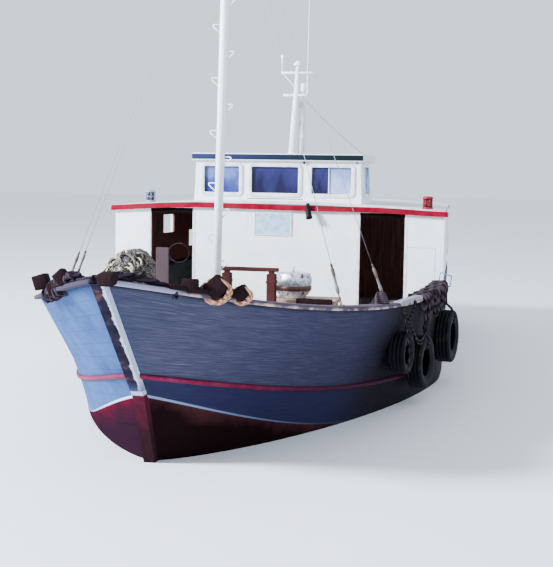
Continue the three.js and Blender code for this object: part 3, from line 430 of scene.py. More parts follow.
def timber_finish(name, pale, dark, along="X", grain_mm=9, roughness=0.8, board_mm=0, board_axis="Y",
                  seam="#1C1917", gloss=0.3, knots=0.25):
    """Bare or thinly finished wood: raised grain in fine streaks along the timber, large weathered patches,
    and a dark seam at each board's edge where it is laid in boards."""
    made, tree, shader = start_material(name, roughness, {"Specular IOR Level": gloss})
    place = add_node(tree, "TexCoord", out="Object")
    fine = 1000 / grain_mm
    stretch = {"X": (1.6, fine, fine), "Y": (fine, 1.6, fine), "Z": (fine, fine, 1.6)}[along]
    grain_place = add_node(tree, "Mapping", {"Vector": place, "Scale": stretch})
    grain = add_node(tree, "TexNoise", {"Vector": grain_place, "Scale": 1.0, "Detail": 6.0, "Roughness": 0.6})
    patches = add_node(tree, "TexNoise", {"Vector": place, "Scale": 3.0, "Detail": 5.0})
    wood = add_node(tree, "Mix", {0: grain, 6: srgb(dark), 7: srgb(pale)}, **MIX_COLOURS)
    patch_share = add_node(tree, "MapRange", {"Value": patches, 1: 0.45, 2: 0.7, 4: knots})
    wood = add_node(tree, "Mix", {0: patch_share, 6: wood, 7: srgb(dark)}, **MIX_COLOURS)
    height = grain
    if board_mm:
        axes = add_node(tree, "SeparateXYZ", {0: place}).node.outputs
        board = add_node(tree, "Math", {0: axes[board_axis], 1: board_mm / 1000}, operation="DIVIDE")
        share = add_node(tree, "Math", {0: board}, operation="FRACT")
        number = add_node(tree, "Math", {0: board}, operation="FLOOR")
        tint = add_node(tree, "TexWhiteNoise", {"W": number}, noise_dimensions="1D")
        tint_share = add_node(tree, "MapRange", {"Value": tint, 4: 0.35})
        wood = add_node(tree, "Mix", {0: tint_share, 6: wood, 7: srgb(dark)}, **MIX_COLOURS)
        seam_width = 6 / board_mm
        seam_share = add_node(tree, "MapRange", {"Value": share, 1: seam_width, 2: 0.0})
        wood = add_node(tree, "Mix", {0: seam_share, 6: wood, 7: srgb(seam)}, **MIX_COLOURS)
        height = add_node(tree, "Math", {0: grain, 1: seam_share}, operation="SUBTRACT")
    raised = add_node(tree, "Bump", {"Height": height, "Strength": 0.35, "Distance": 0.004})
    set_inputs(shader, {"Base Color": wood, "Normal": raised})
    return made


def timber(made, low, high, edge=0.008, turn=None):
    """A sawn timber with its edges eased, from its lowest to its highest corner, turned about its middle."""
    size = Vector(high) - Vector(low)
    middle = (Vector(high) + Vector(low)) / 2
    place = Matrix.Translation(middle) @ (turn or Matrix()) @ Matrix.Diagonal((*size, 1))
    corners = bmesh.ops.create_cube(made, size=1, matrix=place)["verts"]
    edges = {line for corner in corners for line in corner.link_edges}
    bmesh.ops.bevel(made, geom=list(edges), offset=edge, affect="EDGES", segments=2, profile=0.5, material=-1)


hold_boards = timber_finish("wet_larch_boards", "#6E5F4E", "#3C3228", along="X", board_mm=110, board_axis="Y")
hold = bmesh.new()
hold_top = deck_at(HATCH_AFT_X) - 0.045
hold_size = (HATCH_FORE_X - HATCH_AFT_X + 0.05, 2 * HATCH_HALF + 0.05, hold_top - HOLD_FLOOR_Z + 0.03)
hold_middle = Vector(((HATCH_AFT_X + HATCH_FORE_X) / 2, 0, (hold_top + HOLD_FLOOR_Z - 0.03) / 2))
bmesh.ops.create_cube(hold, size=1, matrix=Matrix.Translation(hold_middle) @ Matrix.Diagonal((*hold_size, 1)))
lid = [face for face in hold.faces if face.normal.z > 0.5]
bmesh.ops.delete(hold, geom=lid, context="FACES_ONLY")
bmesh.ops.solidify(hold, geom=hold.faces[:], thickness=0.02)
bmesh.ops.recalc_face_normals(hold, faces=hold.faces)
add_piece("fish_hold_lining", hold, hold_boards, smooth=False)

# Backbone: stem, keel, sternpost and rudder stand outside the planking. The stem is bare on its face, where
# old paint has gone and the wood is dark and soft at the head, and chalky white on its port cheek.
stem_timber, tree, shader = start_material("weathered_hardwood_stem_and_shade", 0.85, {"Specular IOR Level": 0.08})
place = add_node(tree, "TexCoord", out="Object")
axes = add_node(tree, "SeparateXYZ", {0: place}).node.outputs
grain_place = add_node(tree, "Mapping", {"Vector": place, "Rotation": (0, -0.75, 0), "Scale": (60, 60, 3)})
grain = add_node(tree, "TexNoise", {"Vector": grain_place, "Scale": 1.0, "Detail": 6.0})
rot = add_node(tree, "TexNoise", {"Vector": place, "Scale": 5.5, "Detail": 6.0, "Roughness": 0.65})
cheek = add_node(tree, "ValToRGB", {0: grain}, [(0.3, "#98A0B6"), (0.7, "#CDD5E6")])
face_wood = add_node(tree, "ValToRGB", {0: rot}, [(0.36, "#120E19"), (0.55, "#211D2F"), (0.66, "#523633"),
                                                  (0.78, "#636279")])
ragged = add_node(tree, "Math", {0: rot, 1: 0.11, 2: axes["Y"]}, operation="MULTIPLY_ADD")
on_port = add_node(tree, "MapRange", {"Value": ragged, 1: 0.09, 2: 0.1})
both_faces = add_node(tree, "Mix", {0: on_port, 6: face_wood, 7: cheek}, **MIX_COLOURS)
low_part = add_node(tree, "MapRange", {"Value": axes["Z"], 1: 1.02, 2: 0.86})
blue_part = add_node(tree, "Mix", {0: low_part, 6: both_faces, 7: srgb("#3A4266")}, **MIX_COLOURS)
line_low = add_node(tree, "MapRange", {"Value": axes["Z"], 1: 0.90, 2: 0.885})
white_part = add_node(tree, "Mix", {0: line_low, 6: blue_part, 7: srgb("#AAB6D0")}, **MIX_COLOURS)
red_low = add_node(tree, "MapRange", {"Value": axes["Z"], 1: 0.845, 2: 0.835})
bottom_wear_and_shade = add_node(tree, "ValToRGB", {0: rot}, [(0.35, "#2E0C18"), (0.65, "#4E1226")])
# Painted shade: below the boot line the stem darkens further down.
stem_deep = add_node(tree, "MapRange", {"Value": axes["Z"], 1: 0.8, 2: 0.3, 4: 0.85})
bottom_wear_and_shade = add_node(tree, "Mix", {0: stem_deep, 6: bottom_wear_and_shade, 7: srgb("#150A0F")}, **MIX_COLOURS)
stem_colour = add_node(tree, "Mix", {0: red_low, 6: white_part, 7: bottom_wear_and_shade}, **MIX_COLOURS)
raised = add_node(tree, "Bump", {"Height": rot, "Strength": 0.6, "Distance": 0.02})
grained = add_node(tree, "Bump", {"Height": grain, "Strength": 0.3, "Distance": 0.004, "Normal": raised})
set_inputs(shader, {"Base Color": stem_colour, "Normal": grained})


def refinish(material, *nodes):
    """A plain solid whose shape is right keeps it and takes the finished material."""
    for word in nodes:
        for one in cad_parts[word].material_slots:
            one.material = material


refinish(stem_timber, "stem_post")

# Antifouling: matt red-brown copper paint, brushed thick on keel, sternpost and rudder. Weed and salt leave
# it mottled.
def mottled_finish(name, roughness, patches, detail, stops, relief=None, inputs=None, fine=0.5):
    """A finish that wears in patches, so many to a metre. Relief is the strength and depth of its bumps."""
    made, tree, shader = start_material(name, roughness, inputs)
    place = add_node(tree, "TexCoord", out="Object")
    wear = add_node(tree, "TexNoise", {"Vector": place, "Scale": patches, "Detail": detail,
                                       "Roughness": fine})
    set_inputs(shader, {"Base Color": add_node(tree, "ValToRGB", {0: wear}, stops)})
    if relief:
        raised = add_node(tree, "Bump", {"Height": wear, "Strength": relief[0], "Distance": relief[1]})
        set_inputs(shader, {"Normal": raised})
    return made


antifouling = mottled_finish("matt_antifouling_paint", 0.9, 6.0, 8.0, [(0.35, "#301618"), (0.6, "#582428")],
                             (0.4, 0.004))
refinish(antifouling, "keel", "sternpost", "rudder")

# Stem head: the top of the stem stands above the rail as a rough block, its wood tarred and going soft,
# with a breasthook bolted behind it.
dark_timber = timber_finish("tarred_rotten_timber", "#2E1E21", "#0D080B", along="Z", grain_mm=14,
                            roughness=0.9, gloss=0.03)
stem_head = bmesh.new()
timber(stem_head, (8.06, 0.0, 2.145), (8.235, 0.17, 2.27), 0.02, Matrix.Rotation(0.12, 4, "Y"))
timber(stem_head, (7.55, -0.15, 2.13), (7.98, 0.15, 2.2), 0.015, Matrix.Rotation(-0.14, 4, "Y"))
add_piece("stem_head_block", stem_head, dark_timber)

# Deck: straight-laid planks 120 mm wide, scrubbed grey and caulked with pitch, with a covering board along
# the foot of the bulwarks and a stanchion at every second frame up to the rail.
deck_planks = timber_finish("scrubbed_pine_deck", "#A49A8B", "#6C6459", along="X", grain_mm=7, board_mm=120,
                            board_axis="Y", seam="#1E1C1C")
refinish(deck_planks, "deck", "foredeck")
inner_paint = timber_finish("faded_grey_green_paint", "#9FAFB2", "#6A787C", along="Z", grain_mm=20)
covering_board_wood = timber_finish("oiled_oak", "#7F6F60", "#4A4038", along="X", grain_mm=10)
COVERING_ROWS = [(0.062, 0.002), (0.062, 0.024), (0.20, 0.024), (0.215, 0.014), (0.215, 0.002),
                 (0.062, 0.002)]
COVERING_COLUMNS = 80
STANCHION_HALF_U = 0.04 / 7.6
STANCHION_COLUMNS = [0.93, 0.87, 0.8, 0.72, 0.64, 0.55, 0.46, 0.37, 0.28, 0.19, 0.1, -0.64, -0.71, -0.78,
                     -0.85, -0.92]


def close_ends(mesh_body):
    """Fills the open ends of a swept section and turns the faces outward."""
    bmesh.ops.remove_doubles(mesh_body, verts=mesh_body.verts, dist=0.0002)
    bmesh.ops.holes_fill(mesh_body, edges=[line for line in mesh_body.edges if line.is_boundary])
    bmesh.ops.recalc_face_normals(mesh_body, faces=mesh_body.faces)


for word, side in SIDES:
    stations = hull_columns(COVERING_COLUMNS, 0.985, -0.995)

    def covering_at(column, row):
        inset, rise = COVERING_ROWS[row]
        u = stations[column]
        point = hull_point(u, deck_z(u) + rise, inset)
        return (Vector((point.x, max(point.y, 0.01) * side, point.z)),)

    board = mapped_grid(COVERING_COLUMNS, len(COVERING_ROWS) - 1, covering_at)
    close_ends(board)
    add_piece(f"covering_board_{word}", board, covering_board_wood)

    stanchions = bmesh.new()
    for u in STANCHION_COLUMNS:
        post = bmesh.ops.create_cube(stanchions, size=2)["verts"]
        for corner in post:
            column = u + corner.co.x * STANCHION_HALF_U
            z = rail_z(column) if corner.co.z > 0 else deck_z(column) + 0.02
            inset = 0.064 if corner.co.y > 0 else 0.15
            point = hull_point(column, z, inset)
            corner.co = (point.x, point.y * side, point.z)
        bmesh.ops.bevel(stanchions, geom=list({line for corner in post for line in corner.link_edges}),
                        offset=0.008, affect="EDGES", segments=2, profile=0.5, material=-1)
    bmesh.ops.recalc_face_normals(stanchions, faces=stanchions.faces)
    add_piece(f"bulwark_stanchions_{word}", stanchions, inner_paint)

# Rail: a flat softwood cap on the bulwarks, bare and bleached, its outer edge worn pale by ropes. It is
# 190 mm wide, scarfed along its length, and carried across the transom.
rail_timber, tree, shader = start_material("bleached_softwood_rail", 0.85, {"Specular IOR Level": 0.25})
place = add_node(tree, "TexCoord", out="Object")
CAP_MARKS = ("run", "breadth", "worn")
run, breadth, edge = (add_node(tree, "Attribute", attribute_name=word, out="Fac") for word in CAP_MARKS)
laid = add_node(tree, "CombineXYZ", {0: run, 1: breadth})
laid_grain = add_node(tree, "Mapping", {"Vector": laid, "Scale": (2.2, 70.0, 1.0)})
grain = add_node(tree, "TexNoise", {"Vector": laid_grain, "Scale": 1.0, "Detail": 7.0, "Roughness": 0.65})
stains = add_node(tree, "TexNoise", {"Vector": place, "Scale": 4.0, "Detail": 7.0, "Roughness": 0.65})
wood = add_node(tree, "ValToRGB", {0: grain}, [(0.3, "#2E2632"), (0.5, "#473C4A"), (0.72, "#695B6C")])
stain_share = add_node(tree, "MapRange", {"Value": stains, 1: 0.52, 2: 0.7, 4: 0.7})
darkened = add_node(tree, "Mix", {0: stain_share, 6: wood, 7: srgb("#3A3038")}, **MIX_COLOURS)
worn_share = add_node(tree, "Math", {0: edge, 1: stains}, operation="MULTIPLY")
worn_range = add_node(tree, "MapRange", {"Value": worn_share, 1: 0.43, 2: 0.62})
bleached = add_node(tree, "Mix", {0: worn_range, 6: darkened, 7: srgb("#C4AC9C")}, **MIX_COLOURS)
axes = add_node(tree, "SeparateXYZ", {0: place}).node.outputs
to_starboard = add_node(tree, "MapRange", {"Value": axes["Y"], 1: 0.0, 2: -0.04})
outer_edge = add_node(tree, "MapRange", {"Value": breadth, 1: -0.045, 2: -0.06})
fore_share = add_node(tree, "MapRange", {"Value": axes["X"], 1: 7.5, 2: 7.65})
fore_edge = add_node(tree, "Math", {0: fore_share, 1: outer_edge}, operation="MULTIPLY")
painted_edge = add_node(tree, "Math", {0: to_starboard, 1: fore_edge}, operation="MAXIMUM")
edge_paint = add_node(tree, "Mix", {0: to_starboard, 6: srgb("#8886A0"), 7: srgb("#2C2436")}, **MIX_COLOURS)
worn = add_node(tree, "Mix", {0: painted_edge, 6: bleached, 7: edge_paint}, **MIX_COLOURS)
raised = add_node(tree, "Bump", {"Height": grain, "Strength": 0.5, "Distance": 0.006})
set_inputs(shader, {"Base Color": worn, "Normal": raised})

CAP_THICK = 0.055
CAP_LIFT = 0.001
# Each corner of the cap's section: inset from the planking's outside, height above the bulwark, pale wear
CAP_SECTION = [(0.11, 0.0, 0.0), (-0.05, 0.0, 0.6), (-0.066, 0.004, 1.0), (-0.07, 0.02, 1.0),
               (-0.066, 0.045, 0.7), (-0.05, CAP_THICK, 0.3), (0.03, CAP_THICK + 0.002, 0.0),
               (0.105, CAP_THICK, 0.0), (0.119, 0.045, 0.3), (0.119, 0.01, 0.0), (0.11, 0.0, 0.0)]
CAP_COLUMNS = 150


def edge_wander(run_length, seed):
    """Small dents and hollows that ropes have worn in an edge, in metres."""
    hollow = 0.010 * noise.noise(Vector((run_length * 1.9, seed, 0.0)))
    return hollow + 0.004 * noise.noise(Vector((run_length * 7.0, seed, 3.0)))


for word, side in SIDES:
    stations = hull_columns(CAP_COLUMNS, 0.9985, -0.998)

    def cap_at(column, row):
        inset, rise, wear = CAP_SECTION[row]
        u = stations[column]
        base = hull_point(u, rail_z(u), 0)
        dent = edge_wander(base.x, side * 5.0) if rise < 0.05 and inset < 0 else 0.0
        if inset < 0:
            inset *= 1 - 0.97 * clamp((0.35 - base.x) / 0.3)
        point = hull_point(u, rail_z(u) + CAP_LIFT, inset + dent)
        point.z += rise
        return Vector((point.x, max(point.y, 0.004) * side, point.z)), base.x, inset, wear

    cap = mapped_grid(CAP_COLUMNS, len(CAP_SECTION) - 1, cap_at, CAP_MARKS)
    close_ends(cap)
    rail_piece = add_piece(f"rail_cap_planks_{word}", cap, rail_timber)
    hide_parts(f"rail_cap_{word}")

quarter_x = column_x(-1, rail_z(-1))
transom_cap = bmesh.new()
timber(transom_cap, (quarter_x - 0.07, -half_breadth(-1, rail_z(-1)) - 0.05, rail_z(-1) + CAP_LIFT),
       (quarter_x + 0.12, half_breadth(-1, rail_z(-1)) + 0.05, rail_z(-1) + CAP_LIFT + CAP_THICK + 0.003),
       0.008)
bleached_board = timber_finish("bleached_softwood_board", "#8A7F86", "#4F464F", along="Y", grain_mm=12)
add_piece("rail_cap_transom", transom_cap, bleached_board)

# Rubbing strake: a half-round hardwood moulding nailed along the planking. Its signal-red gloss has chalked
# to a duller, pinker red.
stripe_paint, tree, shader = start_material("chalked_red_gloss", 0.5, {"Specular IOR Level": 0.05})
place = add_node(tree, "TexCoord", out="Object")
wear = add_node(tree, "TexNoise", {"Vector": place, "Scale": 7.0, "Detail": 7.0, "Roughness": 0.7})
axes = add_node(tree, "SeparateXYZ", {0: place}).node.outputs
reds = add_node(tree, "ValToRGB", {0: wear}, [(0.3, "#520E2C"), (0.5, "#6E1836"), (0.68, "#7A2A52"),
                                              (0.76, "#4C3462")])
# Painted shade: the port side of the strake is darker.
port_share = add_node(tree, "MapRange", {"Value": axes["Y"], 1: 0.6, 2: 1.7, 4: 0.9})
shaded = add_node(tree, "Mix", {0: port_share, 6: reds, 7: srgb("#2C0A22")}, **MIX_COLOURS)
raised = add_node(tree, "Bump", {"Height": wear, "Strength": 0.3, "Distance": 0.004})
set_inputs(shader, {"Base Color": shaded, "Normal": raised})
STRAKE_HALF = 0.035
STRAKE_STEPS = 10
STRAKE_COLUMNS = 120
for word, side in SIDES:
    stations = hull_columns(STRAKE_COLUMNS, 0.999, -0.995)

    def strake_at(column, row):
        u = stations[column]
        angle = math.pi * (row / STRAKE_STEPS - 0.5)
        z = strake_line_z(u) + STRAKE_HALF * math.sin(angle)
        point = hull_point(u, z, 0.004 - 0.036 * math.cos(angle))
        return (Vector((point.x, point.y * side, point.z)),)

    strake = mapped_grid(STRAKE_COLUMNS, STRAKE_STEPS, strake_at)
    close_ends(strake)
    strake_piece = add_piece(f"rubbing_strake_{word}", strake, stripe_paint)
    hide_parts(f"rub_strake_{word}")

# Timberheads: three squared posts on each bow rail, of dark tarred wood, standing on a rail chock. Two of the
# port posts are lashed down with turns of orange-brown rope that pass round the outer edge of the cap.
def join_in(made, part):
    """Puts a finished part into a piece."""
    bmesh.ops.recalc_face_normals(part, faces=part.faces)
    shape = bpy.data.meshes.new("part")
    part.to_mesh(shape)
    part.free()
    made.from_mesh(shape)
    bpy.data.meshes.remove(shape)


def swept_rod(made, path, radius, sides=10, closed=False):
    """A round rod, wire or rope along a path. Its radius is a length or a function of the path's share."""
    points = [Vector(point) for point in path]
    if closed:
        points.append(points[0].copy())
    last = len(points) - 1
    along = []
    for index in range(last + 1):
        before = points[index - 1] if index else (points[last - 1] if closed else points[0])
        after = points[index + 1] if index < last else (points[1] if closed else points[last])
        along.append((after - before).normalized())
    turns = [along[0].to_track_quat("Z", "X")]
    for index in range(1, last + 1):
        turns.append(along[index - 1].rotation_difference(along[index]) @ turns[-1])
    twist = 0.0
    if closed:
        start = turns[0] @ Vector((1, 0, 0))
        end = turns[-1] @ Vector((1, 0, 0))
        twist = math.atan2(end.cross(start).dot(along[0]), end.dot(start))
    part = bmesh.new()
    bmesh.ops.create_grid(part, x_segments=last, y_segments=sides, size=1)
    for vertex in part.verts:
        column = round((vertex.co.x + 1) / 2 * last)
        angle = (vertex.co.y + 1) * math.pi + twist * column / last
        width = radius(column / last) if callable(radius) else radius
        vertex.co = points[column] + turns[column] @ Vector((math.cos(angle), math.sin(angle), 0)) * width
    close_ends(part)
    join_in(made, part)


def turned(made, profile, place=None, steps=32):
    """A turned shape: a profile of (radius, height) points spun about the upright, then set in its place."""
    part = bmesh.new()
    corners = [part.verts.new((radius, 0, height)) for radius, height in profile]
    lines = [part.edges.new(pair) for pair in zip(corners, corners[1:])]
    bmesh.ops.spin(part, geom=corners + lines, cent=(0, 0, 0), axis=(0, 0, 1), angle=math.tau, steps=steps,
                   use_merge=True)
    bmesh.ops.remove_doubles(part, verts=part.verts, dist=0.00005)
    bmesh.ops.transform(part, matrix=place or Matrix(), verts=part.verts)
    join_in(made, part)


def round_steps(count):
    """The cosine and sine of so many even steps round a circle."""
    return [(math.cos(math.tau * step / count), math.sin(math.tau * step / count)) for step in range(count)]


def upright(direction):
    """A turn that lays an upright shape along a direction."""
    return Vector(direction).to_track_quat("Z", "Y").to_matrix().to_4x4()


def rope_finish(name, pale, dark, lay_mm=40):
    """Laid rope: strands that wind round it, fuzzy with wear. The lay is drawn as fine slanting ridges."""
    made, tree, shader = start_material(name, 0.95, {"Specular IOR Level": 0.1})
    place = add_node(tree, "TexCoord", out="Object")
    ridges = add_node(tree, "TexWave", {"Vector": place, "Scale": 1000 / lay_mm / 3, "Distortion": 1.5,
                                        "Detail": 2.0}, wave_type="BANDS", bands_direction="DIAGONAL",
                      out="Fac")
    fibre = add_node(tree, "TexNoise", {"Vector": place, "Scale": 60.0, "Detail": 4.0})
    mixed = add_node(tree, "Math", {0: ridges, 1: fibre}, operation="MULTIPLY")
    colour = add_node(tree, "ValToRGB", {0: mixed}, [(0.1, dark), (0.5, pale)])
    raised = add_node(tree, "Bump", {"Height": mixed, "Strength": 0.7, "Distance": 0.006})
    set_inputs(shader, {"Base Color": colour, "Normal": raised})
    return made


orange_rope = rope_finish("sun_bleached_orange_rope", "#D8A888", "#7A4E3C")
grey_rope = rope_finish("wet_hemp_rope", "#8C8078", "#3A3432")
# Each row: side, place along the boat, side of the square timber, how far its end stands out from the rail's
# middle and above the cap, its turn about its own length, and the number of rope turns under it
TIMBERHEADS = [(1, 7.41, 0.14, 0.055, 0.06, 0.03, 0), (1, 7.15, 0.20, 0.085, 0.08, 0.72, 3),
               (1, 6.86, 0.14, 0.10, 0.06, 0.6, 3), (-1, 7.55, 0.14, 0.05, 0.085, 0.75, 0),
               (-1, 7.2, 0.13, 0.03, 0.0, 0.3, 0), (-1, 6.96, 0.16, 0.12, 0.09, 0.3, 0)]


def cap_top(x):
    return rail_at(x) + CAP_LIFT + CAP_THICK


for word, side in SIDES:
    heads = bmesh.new()
    lashings = bmesh.new()
    for side_of_row, x, size, out, rise, roll, coils_under in TIMBERHEADS:
        if side_of_row != side:
            continue
        tip = Vector((x + 0.10, side * (rail_half(x) + out), cap_top(x) + rise))
        heel = tip + Vector((-0.34, -0.05 if side > 0 else -0.1, -0.03))
        reach = (tip - heel).length / 2
        turn = upright(tip - heel) @ Matrix.Rotation(roll, 4, "Z")
        half = Vector((size * 0.5, size * 0.5, reach))
        middle = (tip + heel) / 2
        timber(heads, middle - half, middle + half, 0.016, turn)
        for coil in range(coils_under):
            place = middle.lerp(tip, 0.42 + 0.2 * coil)
            loop = []
            for across, down in round_steps(36):
                wide = (0.8 - 0.06 * coil) if down < 0 else 0.5 + (0.3 - 0.06 * coil) * (1 - down) ** 2
                wide *= size
                loop.append(place + Vector((-0.18 * across * wide, across * wide, down * wide - 0.012)))
            swept_rod(lashings, loop, 0.018, 8, closed=True)
    heads_piece = add_piece(f"timberhead_posts_{word}", heads, dark_timber)
    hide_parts(f"timberheads_{word}")
    if side > 0:
        add_piece("timberhead_lashings_port", lashings, orange_rope)

    chock_columns = [column_at(7.58 - 0.84 * step / 24, rail_z) for step in range(25)]

    def chock_at(column, row):
        inset, rise = [(0.085, 0.0), (-0.05, 0.0), (-0.055, 0.04), (-0.04, 0.05), (0.07, 0.05), (0.085, 0.04),
                       (0.085, 0.0)][row]
        u = chock_columns[column]
        point = hull_point(u, rail_z(u) + CAP_LIFT + CAP_THICK, inset)
        return (Vector((point.x, point.y * side, point.z + rise)),)

    chock = mapped_grid(24, 6, chock_at)
    close_ends(chock)
    add_piece(f"bow_rail_chock_{word}", chock, dark_timber)

# Bow ropes: a thick old hawser made fast along the port cap from the stem head, and turns of dark rope round
# the starboard rail below the timber ends.
dark_rope = rope_finish("old_tarred_rope", "#382C3A", "#140E15")
bow_ropes = bmesh.new()


def closed_run(corners):
    """The corners of a closed path, with even steps filled in between them."""
    return [Vector(start).lerp(Vector(end), step / 4)
            for start, end in zip(corners, corners[1:] + corners[:1]) for step in range(4)]


hawser = [(8.1, 0.10, 2.24), (7.98, 0.17, 2.232), (7.88, 0.27, 2.212), (7.78, 0.37, 2.178),
          (7.69, 0.46, 2.132), (7.63, 0.55, 2.085), (7.6, 0.61, 2.03), (7.6, 0.615, 1.985)]
for lane in range(3):
    path = []
    for start, end in zip(hawser, hawser[1:]):
        for step in range(5):
            point = Vector(start).lerp(Vector(end), step / 5)
            angle = math.tau * lane / 3 + len(path) * 0.42
            path.append(point + Vector((0.3 * math.cos(angle), math.cos(angle), math.sin(angle))) * 0.021)
    swept_rod(bow_ropes, path, 0.022, 10)
for turn_number in range(11):
    x = 7.42 - 0.062 * turn_number
    wander = 0.02 * math.sin(turn_number * 2.3)
    outer = -(rail_half(x) + 0.075 + wander)
    inner = -(rail_half(x) - 0.135)
    top = cap_top(x) + 0.018
    low = rail_at(x) - 0.02
    hang = rail_at(x) - 0.03 - 0.022 * (turn_number % 3)
    around = [(x, inner, low), (x - 0.02, inner, top), (x - 0.03, outer + 0.03, top + 0.008),
              (x, outer, top - 0.02), (x + 0.02, outer - 0.01, (top + hang) / 2),
              (x + 0.03, outer + 0.01, hang), (x + 0.01, outer + 0.07, low)]
    swept_rod(bow_ropes, closed_run(around), 0.024, 8, closed=True)
chance = random.Random(5)
for coil in range(13):
    x = 7.12 + 0.055 * coil
    middle = Vector((x, -(rail_half(x) + chance.uniform(-0.03, 0.05)),
                     cap_top(x) + chance.uniform(0.03, 0.075)))
    wide = chance.uniform(0.05, 0.085)
    tilt = Matrix.Rotation(chance.uniform(-0.5, 0.5), 3, "X")
    tilt = tilt @ Matrix.Rotation(chance.uniform(-0.4, 0.7), 3, "Y")
    loop = [middle + tilt @ Vector((wide * fore, wide * out, 0)) for fore, out in round_steps(18)]
    swept_rod(bow_ropes, loop, chance.uniform(0.018, 0.026), 8, closed=True)
for lane in range(2):
    rail_rope = []
    for step in range(19):
        x = 7.5 + 0.55 * step / 18
        sway = 0.012 * math.sin(step * 1.3 + lane * 2)
        rail_rope.append((x, -max(rail_half(x) + 0.02 - 0.05 * lane + sway, 0.03), cap_top(x) + 0.016))
    swept_rod(bow_ropes, rail_rope, 0.016, 8)
add_piece("bow_rail_ropes", bow_ropes, dark_rope)

# Foremast: a white-painted steel pole stepped on the foredeck, with bent bar rungs welded on alternate sides
# and a collar near its head. Four wire shrouds run from the collar to chain plates on the rail.
MAST_X = 3.69
MAST_RADIUS = 0.057
MAST_TOP_Z = 7.6
COLLAR_Z = 7.15
RUNG_PITCH = 0.3475


def mast_y(z):
    """The pole leans a little to port."""
    return 0.0194 * (z - 2.06)


ENAMEL_WEAR = [(0.3, "#F0F5FA"), (0.62, "#FBFDFF"), (0.72, "#EEF0F2"), (0.76, "#7A4A36")]
mast_paint = mottled_finish("white_enamel_on_steel", 0.35, 9.0, 8.0, ENAMEL_WEAR, fine=0.7)
mast_foot = deck_at(MAST_X + 0.17) + 0.004
mast = bmesh.new()
mast_stand = Matrix.Translation((MAST_X, mast_y(mast_foot), mast_foot))
mast_lean = upright((0, mast_y(MAST_TOP_Z) - mast_y(mast_foot), MAST_TOP_Z - mast_foot))
mast_tall = MAST_TOP_Z - mast_foot
turned(mast, [(0, 0), (0.168, 0), (0.17, 0.004), (0.17, 0.026), (0.166, 0.03), (MAST_RADIUS + 0.02, 0.032),
              (MAST_RADIUS, 0.05), (0, 0.05)], mast_stand, 40)
turned(mast, [(0, 0.01), (MAST_RADIUS, 0.01), (MAST_RADIUS, mast_tall * 0.5),
              (MAST_RADIUS, mast_tall - 0.006), (MAST_RADIUS - 0.006, mast_tall), (0, mast_tall)],
       mast_stand @ mast_lean, 40)
turned(mast, [(0.05, 0), (0.102, 0), (0.105, 0.003), (0.105, 0.027), (0.102, 0.03), (0.05, 0.03), (0.05, 0)],
       Matrix.Translation((MAST_X, mast_y(COLLAR_Z), COLLAR_Z)), 40)
for step in range(17):
    z = 1.38 + RUNG_PITCH * step
    side = 1 if step % 2 == 0 else -1
    bend = [(0.045, 0), (0.125, 0), (0.142, -0.004), (0.149, -0.014), (0.143, -0.028), (0.125, -0.046),
            (0.045, -0.118)]
    swept_rod(mast, [(MAST_X, mast_y(z) + side * reach, z + rise) for reach, rise in bend], 0.009, 8)
mast_piece = add_piece("foremast_pole", mast, mast_paint)
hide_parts("foremast")

wire, tree, shader = start_material("galvanised_wire_rope", 0.55, {"Metallic": 0.3})
place = add_node(tree, "TexCoord", out="Object")
rust = add_node(tree, "TexNoise", {"Vector": place, "Scale": 7.0, "Detail": 8.0})
wire_colour = add_node(tree, "ValToRGB", {0: rust}, [(0.4, "#6C6A6E"), (0.6, "#5A4A44"), (0.7, "#4A2E24")])
axes = add_node(tree, "SeparateXYZ", {0: place}).node.outputs
# Painted highlight: the wire is pale higher up, and from lower down on the starboard side.
starboard_share = add_node(tree, "MapRange", {"Value": axes["Y"], 1: 0.1, 2: -0.1})
above_share = add_node(tree, "MapRange", {"Value": axes["Z"], 1: 2.1, 2: 2.3})
high_share = add_node(tree, "MapRange", {"Value": axes["Z"], 1: 2.3, 2: 2.9})
painted_highlight_share = add_node(tree, "Math", {0: starboard_share, 1: above_share, 2: high_share},
                        operation="MULTIPLY_ADD", use_clamp=True)
wire_with_highlight = add_node(tree, "Mix", {0: painted_highlight_share, 6: wire_colour, 7: srgb("#9AA2AC")}, **MIX_COLOURS)
set_inputs(shader, {"Base Color": wire_with_highlight})
SHROUDS = [(5.02, 0.045, 1), (3.82, 0.01, 1), (2.75, -0.01, -1), (2.3, -0.045, -1)]
for number, (x, head_x, side) in enumerate(SHROUDS, 1):
    foot = Vector((x, side * (rail_half(x) - 0.04), cap_top(x) + 0.003))
    head = Vector((MAST_X + head_x, mast_y(COLLAR_Z) + side * 0.08, COLLAR_Z - 0.005))
    lead = upright(head - foot)
    stay = bmesh.new()
    swept_rod(stay, [foot.lerp(head, share) for share in (0.082, 0.4, 0.8, 1.0)], 0.004, 8)
    barrel = Matrix.Translation(foot.lerp(head, 0.022)) @ lead
    span = (head - foot).length * 0.06
    turned(stay, [(0, -0.04), (0.008, -0.038), (0.008, 0.02), (0.016, 0.025), (0.022, 0.04),
                  (0.022, span * 0.28), (0.017, span * 0.34), (0.017, span * 0.66), (0.022, span * 0.72),
                  (0.022, span - 0.02), (0.014, span), (0.008, span + 0.01), (0.008, span + 0.05),
                  (0, span + 0.052)], barrel, 16)
    for share in (0.008, 0.086):
        eye = [foot.lerp(head, share) + lead @ Vector((0.014 * wide, 0, 0.028 * tall))
               for wide, tall in round_steps(16)]
        swept_rod(stay, eye, 0.006, 8, closed=True)
    timber(stay, foot + Vector((-0.058, -0.033, -0.003)), foot + Vector((0.058, 0.033, 0.011)), 0.004)
    stay_piece = add_piece(f"shroud_wire_{number}", stay, wire)
    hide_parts(f"shroud_{number}")

